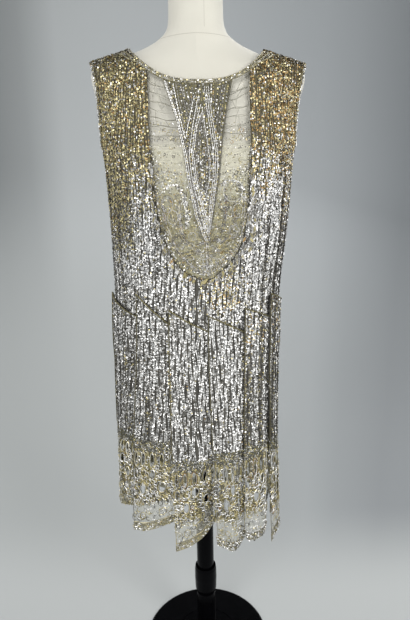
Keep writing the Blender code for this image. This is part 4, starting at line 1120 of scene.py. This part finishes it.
def curls(stitches, reach, thick, lift):
    """Flattened metal thread couched down in hooks and rings, each a little tilted."""
    count, t = len(stitches.point), np.linspace(0, 1, 8)
    sweep = rng.uniform(2.0, 6.0, count) * rng.choice((-1, 1), count)
    turn = rng.uniform(0, FULL_TURN, count)[:, None] + sweep[:, None] * t
    size = rng.uniform(0.75, 1.25, count)[:, None]
    radius = reach * size * (1 - rng.uniform(0, 0.7, count)[:, None] * t)
    side = np.cross(stitches.run, stitches.out)
    lines = (stitches.point + lift * stitches.out)[:, None]
    lines = lines + (radius * np.cos(turn))[..., None] * side[:, None]
    lines = lines + (radius * np.sin(turn))[..., None] * stitches.run[:, None]
    tilt = rng.normal(0, 0.35, (2, count, 1))
    faced = unit(stitches.out + tilt[0] * side + tilt[1] * stitches.run)
    outs = np.repeat(faced[:, None], len(t), 1)
    return tubes(lines, outs, np.full((count, len(t)), thick), 3, 1.5)


def leaves(stitches, wide, long, lift, lean=FULL_TURN / 2):
    """Points and faces of pointed leaves, worked flat in metal thread."""
    count, t = len(stitches.point), np.linspace(0, 2 * np.pi, 9)[:-1]
    size = rng.uniform(0.8, 1.2, count)[:, None]
    x = size * wide / 2 * np.sin(t) * np.abs(np.sin(t)) ** 0.4
    y = size * long / 2 * np.cos(t)
    turn = rng.uniform(-lean, lean, count)[:, None]
    x, y = x * np.cos(turn) - y * np.sin(turn), x * np.sin(turn) + y * np.cos(turn)
    tilt = stitches.out + 0.06 * rng.normal(size=(count, 1)) * np.cross(stitches.run, stitches.out)
    tilt = tilt + 0.06 * rng.normal(size=(count, 1)) * stitches.run
    side = np.cross(stitches.run, tilt)
    points = (stitches.point + lift * stitches.out)[:, None]
    points = points + x[..., None] * side[:, None] + y[..., None] * np.cross(tilt, side)[:, None]
    return points.reshape(-1, 3), np.arange(count * 8).reshape(count, 8)


def leaf_lines(stitches, wide, long, lift, thick, lean):
    """Points and faces of pointed leaves, each outlined with one thread."""
    lines = leaves(stitches, wide, long, lift, lean)[0].reshape(-1, 8, 3)
    lines = np.concatenate([lines, lines[:, :1]], 1)
    outs = np.repeat(stitches.out[:, None], 9, 1)
    return tubes(lines, outs, np.full(lines.shape[:2], thick), 3, 1.2)


def smooth_line(marks):
    """A smooth line through a few marks, as a row for each coordinate."""
    even, known = np.linspace(0, 1, 48), np.linspace(0, 1, len(marks))
    line = np.stack([np.interp(even, known, column) for column in np.transpose(marks)])
    for _ in range(12):
        line[:, 1:-1] = (line[:, :-2] + 2 * line[:, 1:-1] + line[:, 2:]) / 4
    return line


# Shares of each metal, in the order of METALS.
GOLD_MIX, PALE_MIX = (0.06, 0.12, 0.12, 0.34, 0.32, 0.04), (0.30, 0.42, 0.06, 0.14, 0.08, 0.0)
DULL_MIX, STEM_MIX = (0.0, 0.08, 0.58, 0.02, 0.27, 0.05), (0.0, 0.45, 0.30, 0.05, 0.20, 0.0)
RING_MIX, CURL_MIX = (0.0, 0.60, 0.20, 0.0, 0.20, 0.0), (0.10, 0.46, 0.20, 0.10, 0.14, 0.0)
BAND_MIX = (0.42, 0.26, 0.22, 0.04, 0.06, 0.0)
VINES = [  # marks of stitched stems, each as across and height
    [(0.0160, 0.984), (-0.012, 1.000), (-0.040, 1.030), (-0.060, 1.075), (-0.070, 1.130)],
    [(0.0200, 0.984), (0.046, 1.002), (0.076, 1.034), (0.086, 1.080), (0.086, 1.130)],
    [(-0.002, 1.030), (-0.028, 1.052), (-0.046, 1.086), (-0.052, 1.128)],
    [(0.036, 1.034), (0.058, 1.052), (0.068, 1.086), (0.066, 1.116)],
    [(-0.004, 1.040), (0.016, 1.049), (0.044, 1.050), (0.078, 1.056)],
    [(0.018, 0.990), (0.017, 1.014), (0.016, 1.044)],
    [(-0.032, 1.022), (-0.010, 1.028), (0.016, 1.024), (0.040, 1.028), (0.062, 1.024)],
    [(0.044, 1.066), (0.050, 1.100), (0.050, 1.132)],
    [(-0.030, 1.062), (-0.036, 1.094), (-0.036, 1.120)],
]
ARCHES = [  # beaded bands beside the insert
    [(-0.060, 1.146), (-0.046, 1.155), (-0.033, 1.145), (-0.0245, 1.122), (-0.019, 1.098),
     (-0.022, 1.074)],
    [(0.040, 1.150), (0.052, 1.160), (0.068, 1.158), (0.080, 1.144), (0.084, 1.120)],
]
RINGS = [  # across, height, half width, half height, lobes
    (0.063, 1.140, 0.0150, 0.0165, 0), (0.047, 1.114, 0.0085, 0.0100, 0),
    (-0.058, 1.118, 0.0110, 0.0150, 0), (0.017, 1.008, 0.0180, 0.0170, 4),
    (0.017, 1.008, 0.0090, 0.0090, 5), (-0.018, 1.010, 0.0080, 0.0080, 0),
    (0.052, 1.012, 0.0080, 0.0080, 0), (-0.040, 1.050, 0.0095, 0.0100, 5),
    (0.066, 1.068, 0.0095, 0.0100, 5), (0.010, 1.062, 0.0080, 0.0080, 0),
    (0.034, 1.064, 0.0080, 0.0090, 0), (-0.012, 1.058, 0.0075, 0.0085, 0),
    (-0.048, 1.094, 0.0080, 0.0110, 0), (0.072, 1.104, 0.0080, 0.0110, 0),
]
yoke_sewn = []
for marks in VINES:
    across, height = smooth_line(marks)
    for shift in (-0.0011, 0.0011):
        row = in_line(on_front, across + shift, height, 0.0024)
        yoke_sewn.append((one_tube(row, 0.0018, 0.00035), choose(STEM_MIX, 1)))
    row = in_line(on_front, across, height, 0.0052)
    yoke_sewn.append(worked(leaf_lines, row, (0.0050, 0.0115, 0.0020, 0.00035, 1.1), PALE_MIX))
    yoke_sewn.append(worked(leaves, row, (0.0044, 0.0100, 0.0012, 1.1), DULL_MIX))
for marks in ARCHES:
    across, height = smooth_line(marks)
    for shift in (-0.0036, -0.0012, 0.0012, 0.0036):
        row = in_line(on_front, across + shift, height, 0.0024)
        yoke_sewn.append(worked(flakes, row, (0.0024, 0.0024, 0.1, 0.35, 0.0020), BAND_MIX))
for across, height, wide, tall, lobes in RINGS:
    for size, thick in ((1.0, 0.00045), (0.82, 0.00030)):
        ring = ring_line(across, height, wide * size, tall * size, 0.0, lobes, 0.18)
        row = in_line(on_front, *ring, 0.0022)
        yoke_sewn.append((one_tube(row, 0.0021, thick), choose(RING_MIX, 1)))
for low, high, spacing, reach, mix in (
    (0.02, 0.40, 0.0150, 0.0046, CURL_MIX), (0.42, 0.62, 0.0200, 0.0036, GOLD_MIX),
):
    row = scattered(yoke_place, low, high, spacing, *YOKE_SPAN, edges=(0.02, 0.98))
    yoke_sewn.append(worked(curls, row, (reach, 0.00045, 0.0015), mix))
for low, high, spacing, mix in (
    (0.02, 0.40, 0.0047, (0.06, 0.20, 0.36, 0.06, 0.28, 0.04)),
    (0.38, 0.66, 0.0062, (0.02, 0.16, 0.40, 0.06, 0.32, 0.04)),
):
    row = scattered(yoke_place, low, high, spacing, *YOKE_SPAN)
    row.keep((low < 0.3) | (np.sin(row.height * 440) > 0.2))  # in thin lines higher up
    yoke_sewn.append(worked(flakes, row, (0.0022, 0.0022, 0.1, 0.3, 0.0016), mix))


def beside_yoke():
    """Stitches on the bodice near the yoke's edge, in a broader band on the right."""
    rows = in_strings(low_place(False), 0.0085, 0.0085, 0.0030)
    shares = np.linspace(YOKE_LEFT, YOKE_RIGHT, 240)
    heights = yoke_foot(shares)
    edge = shares * half_width(heights)
    across = rows.point[:, 0] - ring_at(DRAPE, rows.height)[:, 5]
    gap = np.hypot(across[:, None] - edge, rows.height[:, None] - heights).min(1)
    reach = np.where((rows.point[:, 0] > 0.06) & (rows.height < 1.17), 0.021, 0.010)
    return rows.keep((gap < reach * rng.uniform(0.5, 1.2, len(gap))) & (rows.height < 1.19))


over = beside_yoke()
yoke_sewn.append(worked(leaf_lines, over, (0.0056, 0.0130, 0.0042, 0.00045, 0.8), PALE_MIX))
yoke_sewn.append(worked(leaves, over, (0.0050, 0.0115, 0.0036, 0.8), DULL_MIX))
for v, mix in (  # rows of sequins along the round foot
    (0.004, (0.04, 0.14, 0.50, 0.06, 0.24, 0.02)), (0.020, (0.22, 0.28, 0.26, 0.10, 0.14, 0.0)),
    (0.052, (0.12, 0.26, 0.34, 0.10, 0.18, 0.0)),
):
    steps = np.linspace(0, 1, 120)
    row = in_line(yoke_place, steps, np.full_like(steps, v), 0.0022)
    yoke_sewn.append(worked(flakes, row, (0.0028, 0.0028, 0.1, 0.35, 0.0018), mix))
add_sewn("yoke_lace", yoke_sewn, "old_gold")
LADDER_FOOT, LADDER_RISE = 0.565, 0.385  # shares of the yoke's depth


def yoke_cord(u, v, spacing, radius, lift):
    """A thread along a line of the yoke."""
    return cord_mesh(in_line(yoke_place, u, v, spacing), radius, lift, 4)


threads, steps = [], np.linspace(0, 1, 24)
for first, last, rungs in ((0.010, 0.33, 7), (0.985, 0.67, 6)):
    for number in range(rungs):
        low = LADDER_FOOT + LADDER_RISE * (number + rng.uniform(-0.2, 0.2)) / rungs
        lean = rng.normal(0, 0.010)
        for strand in range(2):
            wave = 0.007 * np.sin(steps * rng.uniform(4, 11) + rng.uniform(0, FULL_TURN))
            rung = low + lean * steps + wave + rng.normal(0, 0.004)
            across = first + (last - first) * steps
            threads.append(yoke_cord(across, rung, 0.0032, rng.uniform(0.0002, 0.0005), 0.0012))
        for across in rng.uniform(0.1, 0.9, 2):
            tie = first + (last - first) * (across + rng.normal(0, 0.10) * steps)
            rise = low + LADDER_RISE / rungs * steps
            threads.append(yoke_cord(tie, rise, 0.0032, 0.0003, 0.0014))
for edge in (0.014, 0.984):
    across = edge + 0.006 * np.sin(np.linspace(0, 40, 50))
    threads.append(yoke_cord(across, np.linspace(0.56, 0.97, 50), 0.0030, 0.0004, 0.0013))
weave = []
for low in np.arange(0.36, 0.54, 0.035).tolist():
    for left, right in ((0.01, 0.34), (0.70, 0.99)):
        across = np.linspace(left, right, 30)
        wave = 0.006 * np.sin(across * rng.uniform(20, 40) + low * 90)
        rise = low + wave + 0.003 * np.sin(across * 110)
        weave.append(yoke_cord(across, rise, 0.0040, 0.0004, 0.0009))
grey_gold = cord_look("grey_gold_thread", (0.11, 0.10, 0.065), (0.46, 0.44, 0.35), 0.15)
add_cords("yoke_ladder_threads", threads, grey_gold)
cream_thread = cord_look("cream_thread", (0.46, 0.44, 0.32), (0.86, 0.84, 0.70), 0.15)
add_cords("yoke_net_threads", weave, cream_thread, "ecru_net")
rim = yoke_cord(np.linspace(0.0, 1.0, 160), np.zeros(160), 0.0030, 0.0011, 0.0016)
add_cords("yoke_edge_cord", [rim], olive_cord)

# ---------------------------------------------------------------- insert
# A long triangle sewn on the yoke: greenish gold sequins, crossed by strings of silver beads
# in nested chevrons and lozenges that all point down to its tip.
INSERT_ROWS = [  # height, left and right edge
    (1.0480, 0.0125, 0.0190), (1.0950, -0.0065, 0.0265), (1.1500, -0.0180, 0.0355),
    (1.2100, -0.0265, 0.0420), (1.2700, -0.0395, 0.0505), (1.3300, -0.0630, 0.0610),
]
INSERT_TIP, INSERT_TOP = INSERT_ROWS[0][0], INSERT_ROWS[-1][0]
INSERT_CLEAR, INSERT_TOP_GAP, INSERT_SWELL, TRIM_THICK = 0.0011, 0.0014, 0.0005, 0.0010


def insert_edges(level):
    """Places across of its left and right edge at some heights."""
    heights, lefts, rights = np.transpose(INSERT_ROWS)
    return np.interp(level, heights, lefts), np.interp(level, heights, rights)


def insert_place(u, v):
    """A spot of the insert, raised a little towards its middle."""
    left, right = insert_edges(INSERT_TIP + (INSERT_TOP - INSERT_TIP) * v)
    across = left + (right - left) * u
    edge = neckline(across, NECKLINE_DROP_FRONT) - NECK_BAND_WIDTH - INSERT_TOP_GAP
    raised = LACE_THICK + INSERT_CLEAR + INSERT_SWELL * np.sin(np.pi * np.clip(u, 0, 1))
    return on_front(across, INSERT_TIP + (edge - INSERT_TIP) * v, raised)


insert_ground = net_look("olive_silk", (0.07, 0.065, 0.04), (0.20, 0.19, 0.12), (0.16, 0.145, 0.085))
insert = add_cloth("insert_cloth", [grid_of(insert_place, 30, 60)], TRIM_THICK, insert_ground)
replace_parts(insert, "insert")


def insert_line(marks):
    """u and v of a line from its places across and heights, in metres."""
    steps, known = np.linspace(0, 1, 40), np.linspace(0, 1, len(marks))
    across, level = (np.interp(steps, known, part) for part in np.transpose(marks))
    left, right = insert_edges(level)
    v = (level - INSERT_TIP) / (INSERT_TOP - INSERT_TIP)
    return np.clip((across - left) / (right - left), 0.02, 0.98), np.clip(v, 0.005, 0.99)


def bead_string(line, thick, lift):
    """Tube beads end to end on a thread: a waist after every fourth step."""
    row = in_line(insert_place, *line, 0.0013)
    return one_tube(row, lift, thick * np.where(np.arange(len(row.u)) % 4 == 0, 0.45, 1.0))


bead_lines, dull_lines = [], []
for inset in (0.0012, 0.0044, 0.0078):  # down the left edge
    bead_lines.append([(left + inset, height) for height, left, _ in INSERT_ROWS])
dull_lines.append([(right - 0.0012, height) for height, _, right in INSERT_ROWS])
for inset in (0.0, 0.0034, 0.0070):  # from the neck's middle, out to the right and in again
    line = [(0.0180, 1.326), (0.0225, 1.290), (0.0290, 1.250), (0.0345, 1.205), (0.0325, 1.165)]
    line = [(across - inset, height) for across, height in line]
    bead_lines.append([*line, (0.0265 - inset * 0.9, 1.115), (0.0195 - inset * 0.6, 1.062)])
for inset in (0.0, 0.0030, 0.0078, 0.0108):  # the same to the left
    line = [(-0.0125, 1.255), (-0.0195, 1.208), (-0.0150, 1.165), (-0.0020, 1.110)]
    line = [(across + inset, height) for across, height in line]
    first, last = (-0.0020 + inset, 1.318 - inset * 3), (0.0105 + inset * 0.5, 1.062 + inset * 2)
    bead_lines.append([first, *line, last])
for inset in (0.0150, 0.0180, 0.0225):  # nested lozenges
    apex, foot, half = 1.300 - inset, 1.110 + inset * 1.6, 0.0282 - inset
    for side in (-half, half):
        dull_lines.append([
            (0.0080, apex), (0.0070 + side * 0.6, 1.240), (0.0075 + side, 1.196),
            (0.0085 + side * 0.8, 1.160), (0.0120, foot),
        ])
for start, low, end, level in (  # small chevrons at the neck
    (-0.0440, -0.0225, -0.0060, 1.232), (-0.0390, -0.0215, -0.0090, 1.248),
    (-0.0300, -0.0190, -0.0125, 1.272), (0.0450, 0.0385, 0.0290, 1.236),
    (0.0400, 0.0360, 0.0280, 1.262),
):
    dull_lines.append([(start, 1.328), (low, level), (end, 1.310)])
rows = in_strings(insert_place, 0.0027, 0.0024, 0.0006, 1, 0.03)
mix = (0.07, 0.22, 0.44, 0.01, 0.24, 0.02)
insert_sewn = [worked(flakes, rows, (0.0026, 0.0026, 0.1, 0.3, 0.0017), mix)]
for lines, order in ((bead_lines, (1, 1, 2, 1)), (dull_lines, (2, 2, 1, 2, 2))):
    for number, line in enumerate(lines):  # each string of beads is of one metal
        beads = bead_string(insert_line(line), 0.00078, 0.0028)
        insert_sewn.append((beads, np.full(1, order[number % len(order)])))
add_sewn("insert_beads", insert_sewn)

# ---------------------------------------------------------------- neck and armhole bands
# Narrow bands that bind the neckline and both armholes: lines of gold braid with rows of
# beads between them, sewn over the edge of the cloth.
BRAID_DEPTH, ARM_SHARE_FRONT, ARM_SHARE_BACK = 0.0062, 0.075, 0.06
braid = cord_look("gold_braid", (0.10, 0.088, 0.042), (0.76, 0.70, 0.49))


def neck_band(back):
    """Gives place(u, v) for the band along the neckline in front or behind; v 1 is its top."""
    across = np.linspace(-NECK_POINT, NECK_POINT, 60)
    top = neckline(across, NECKLINE_DROP_BACK if back else NECKLINE_DROP_FRONT) - 0.0015
    share = across / half_width(top)
    share[[0, -1]] = -1.0, 1.0
    angles, steps = angle_of(share, top, back), np.linspace(0, 1, 60)

    def place(u, v):
        height = np.interp(u, steps, top) - BRAID_DEPTH * (1 - v)
        return np.interp(u, steps, angles), height, np.full(np.shape(u), SEQUINNED_THICK + CLEAR)

    return place


def arm_band(side, back):
    """The same for the band along an armhole."""
    cloth, width = strap_place(side, back), ARM_SHARE_BACK if back else ARM_SHARE_FRONT

    def place(u, v):
        angle, height, lift = cloth(1 - width * (1 - v), u)
        return angle, height, lift + SEQUINNED_THICK + CLEAR

    return place


def along(place, start, vs, spacing):
    """Rows of stitches along a band."""
    steps = np.linspace(start, 0.999, 60)
    return [in_line(place, steps, np.full_like(steps, v), spacing) for v in vs]


cords, beads = [], []
for back in (False, True):
    place = neck_band(back)
    cords += [cord_mesh(row, 0.0014, 0.0006) for row in along(place, 0.001, (0.05, 0.5, 0.95), 0.004)]
    beads += along(place, 0.001, (0.25, 0.8), 0.0027)
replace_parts(add_cords("neck_braid", cords, braid), "neck_band")
sizes, mix = (0.0025, 0.0025, 0.1, 0.4, 0.0021), (0.25, 0.3, 0.2, 0.15, 0.1, 0.0)
add_sewn("neck_beads", [worked(flakes, row, sizes, mix) for row in beads], "old_gold")
sizes, mix = (0.0034, 0.0036, 0.2, 0.45, 0.0022), (0.46, 0.22, 0.14, 0.1, 0.06, 0.02)
for side, name in ((-1, "left"), (1, "right")):
    cords, beads = [], []
    for back in (False, True):
        place = arm_band(side, back)
        cords += [cord_mesh(row, 0.0013, 0.0005) for row in along(place, 0.0, (0.1, 0.9), 0.004)]
        beads += along(place, 0.0, (0.2, 0.55, 0.9), 0.0030)
    band = add_cords(f"armhole_braid_{name}", cords, braid)
    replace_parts(band, f"armhole_band_{name}")
    groups = [worked(flakes, row, sizes, mix) for row in beads]
    add_sewn(f"armhole_beads_{name}", groups, "old_gold")

# ---------------------------------------------------------------- lace tabs
# Each strip ends in metal lace on sheer net: a dense heading, a row of petals, a field of
# flowers, then open net with scrolls, and a gold border along its slanted hem.
LACE_EDGES, BORDER_SHARE = (0.0, 0.08, 0.39, 0.55, 0.70, 0.87, 1.0), 0.08
HEM_ROUNDNESS, LACE_DEPTH = 0.6, 0.22


def tab_place(index):
    """Gives place(u, v) for a tab: v 1 is its top, 0 its foot."""
    strip, place = PANELS[index], strip_place(index)

    def spot(u, v):
        foot = strip.hem_left + (strip.hem_right - strip.hem_left) * u
        foot = foot - strip.sag * np.abs(np.sin(np.pi * np.clip(u, 0, 1))) ** HEM_ROUNDNESS
        return place(u, foot + (strip.lace - foot) * v)

    return spot


def hem_place(index):
    """The same for the border along its foot."""
    tab = tab_place(index)

    def place(u, v):
        angle, height, lift = tab(u, v * BORDER_SHARE)
        return angle, height, lift + LACE_THICK + CLEAR

    return place


tab_net = open_net_look("gold_thread_net", (
    (0.0, ((0.30, 0.29, 0.22), (0.70, 0.68, 0.58)), 0.06),
    (0.30 * LACE_DEPTH, ((0.035, 0.030, 0.014), (0.26, 0.23, 0.12)), 0.32),
    (0.71 * LACE_DEPTH, ((0.04, 0.036, 0.018), (0.26, 0.24, 0.14)), 0.24),
    (0.87 * LACE_DEPTH, ((0.04, 0.04, 0.028), (0.20, 0.20, 0.15)), 0.36),
), 380.0, 0.15)
HOLES = []  # middle and half sizes, as shares of the tab: between petals, then round the flowers
for row, columns, wide, tall in (
    (4, range(5), 0.38, 0.70), (3, (0, 2, 4), 0.52, 0.56), (2, (1, 3), 0.52, 0.56),
):
    low, high = LACE_EDGES[row], LACE_EDGES[row + 1]
    for column in columns:
        half = (wide / 10, tall * (high - low) / 1.75)
        HOLES.append(((column + 0.5) / 5, (low + high) / 2, *half))
FLOWERS = ((1, 0.625), (3, 0.625), (0, 0.47), (2, 0.47), (4, 0.47))  # column and v
SCROLLS = ((0, 0.30), (2, 0.27), (4, 0.31), (1, 0.17), (3, 0.18))
SILVER_MIX, BRIGHT_MIX = (0.75, 0.2, 0.05, 0.0, 0.0, 0.0), (0.40, 0.14, 0.44, 0.02, 0.0, 0.0)
HEM_MIX = (0.22, 0.12, 0.34, 0.16, 0.14, 0.02)
FIELD = 0.30  # foot of the field of flowers, which reaches lower on the first tab
LACE_WORK = [  # foot and top, spacing, kind, its sizes, shares of each metal
    (0.87, 1.00, 0.0030, flakes, (0.0026, 0.0026, 0.1, 0.3, 0.0018), (0.05, 0.14, 0.52, 0.02, 0.26, 0.01)),
    (0.86, 1.00, 0.0072, curls, (0.0036, 0.0005, 0.0018), (0.20, 0.24, 0.34, 0.04, 0.18, 0.0)),
    (0.71, 0.86, 0.0088, leaves, (0.0056, 0.0190, 0.0013, 0.25), (0.0, 0.04, 0.26, 0.22, 0.46, 0.02)),
    (0.70, 0.88, 0.0080, curls, (0.0046, 0.0007, 0.0020), (0.46, 0.12, 0.04, 0.24, 0.14, 0.0)),
    (0.70, 0.87, 0.0060, flakes, (0.0025, 0.0025, 0.1, 0.35, 0.0018), (0.08, 0.12, 0.36, 0.14, 0.28, 0.02)),
    (FIELD, 0.72, 0.0098, leaves, (0.0062, 0.0130, 0.0012), (0.0, 0.0, 0.30, 0.18, 0.46, 0.06)),
    (FIELD, 0.72, 0.0090, curls, (0.0056, 0.0007, 0.0017), (0.0, 0.02, 0.18, 0.34, 0.44, 0.02)),
    (FIELD, 0.72, 0.0074, curls, (0.0050, 0.0007, 0.0023), (0.58, 0.14, 0.02, 0.22, 0.04, 0.0)),
    (FIELD, 0.72, 0.0066, flakes, (0.0026, 0.0026, 0.1, 0.4, 0.0019), (0.1, 0.08, 0.4, 0.12, 0.28, 0.02)),
    (0.08, 0.32, 0.0105, curls, (0.0066, 0.0006, 0.0015), (0.24, 0.22, 0.24, 0.16, 0.14, 0.0)),
    (0.08, 0.33, 0.0090, flakes, (0.0023, 0.0023, 0.1, 0.4, 0.0016), (0.24, 0.14, 0.32, 0.14, 0.14, 0.02)),
    (0.004, 0.078, 0.0036, flakes, (0.0026, 0.0026, 0.1, 0.5, 0.0035), HEM_MIX),
    (0.005, 0.075, 0.0072, curls, (0.0030, 0.0007, 0.0036), (0.56, 0.12, 0.06, 0.22, 0.04, 0.0)),
]
BRIGHT_HEM = (0.0, 0.10, 0.0032, flakes, (0.0030, 0.0030, 0.2, 0.5, 0.0042), BRIGHT_MIX)


def tab_rings(index, ratio):
    """Lines of silver and of gold thread on a tab, as u and v."""
    silver, gold = [], []
    for middle_u, middle_v, half_u, half_v in HOLES:
        silver.append(ring_line(middle_u, middle_v, half_u * 1.22, half_v * 1.12))
        gold.append(ring_line(middle_u, middle_v, half_u * 1.5, half_v * 1.3))
    for column, v in FLOWERS:
        silver.append(ring_line((column + 0.5) / 5, v, 0.085, 0.085 * ratio, index, 5, 0.25))
        gold.append(ring_line((column + 0.5) / 5, v, 0.035, 0.035 * ratio))
    for column, v in SCROLLS:
        gold.append(ring_line((column + 0.5) / 5, v, 0.072, 0.072 * ratio, index + column, 6, 0.10))
        silver.append(ring_line((column + 0.5) / 5, v, 0.040, 0.040 * ratio))
    gold.append((np.linspace(0.005, 0.995, 40), np.full(40, 0.09)))
    gold += [(np.full(40, edge), np.linspace(0.08, 0.9, 40)) for edge in (0.015, 0.985)]
    return silver, gold


def tab_sewn(index):
    """All that is worked on one tab; the hidden ones are worked more sparsely."""
    place, strip, fine = tab_place(index), PANELS[index], 1.0 if index < 6 else 1.25
    steps = np.linspace(0, 1, 30)
    wide = run_of(on_drape(*place(steps, np.full_like(steps, 0.3))))[-1]
    tall = strip.lace - (strip.hem_left + strip.hem_right) / 2
    sewn = []
    for low, high, spacing, kind, sizes, mix in LACE_WORK + [BRIGHT_HEM] * (index in (3, 4)):
        low = 0.08 if low == FIELD and index == 0 else low
        room = 1.5 if kind is curls else 1.15
        row = scattered(place, low, high, spacing * fine, wide, tall, HOLES, room=room)
        if len(row.u):
            sewn.append(worked(kind, row, sizes, mix))
    silver, gold = tab_rings(index, wide / tall)
    for lines, mix, thick in ((silver, SILVER_MIX, 0.00070), (gold, GOLD_MIX, 0.00065)):
        for u, v in lines:
            row = in_line(place, np.clip(u, 0.004, 0.996), np.clip(v, 0.0, 1.0), 0.0032 * fine)
            sewn.append((one_tube(row, 0.0021, thick, 3, 1.3), choose(mix, 1)))
    return sewn


front_lace, back_lace = [], []
for index in range(len(PANELS)):
    place, number = tab_place(index), f"{index + 1:02d}"
    (front_lace if index < 6 else back_lace).extend(tab_sewn(index))
    net = add_net(f"tab_net_{number}", place, 40, 60, HOLES, tab_net, LACE_DEPTH)
    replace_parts(net, f"lace_tab_{number}")
    hem = [grid_of(hem_place(index), 40, 4)]
    border = add_cloth(f"border_{number}", hem, TRIM_THICK, braid, "old_gold")
    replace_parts(border, f"hem_border_{number}")
    flat, area = cut_of(place)
add_sewn("tab_lace_front", front_lace, "old_gold")
add_sewn("tab_lace_back", back_lace, "old_gold")

# ---------------------------------------------------------------- sizes
# The outer boxes of the plain solids and of the finished dress on its form, side by side
# in metres.
boxes = {"cad": cad_box, "visual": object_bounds()}
{name: [list(corner) for corner in box] for name, box in boxes.items()}
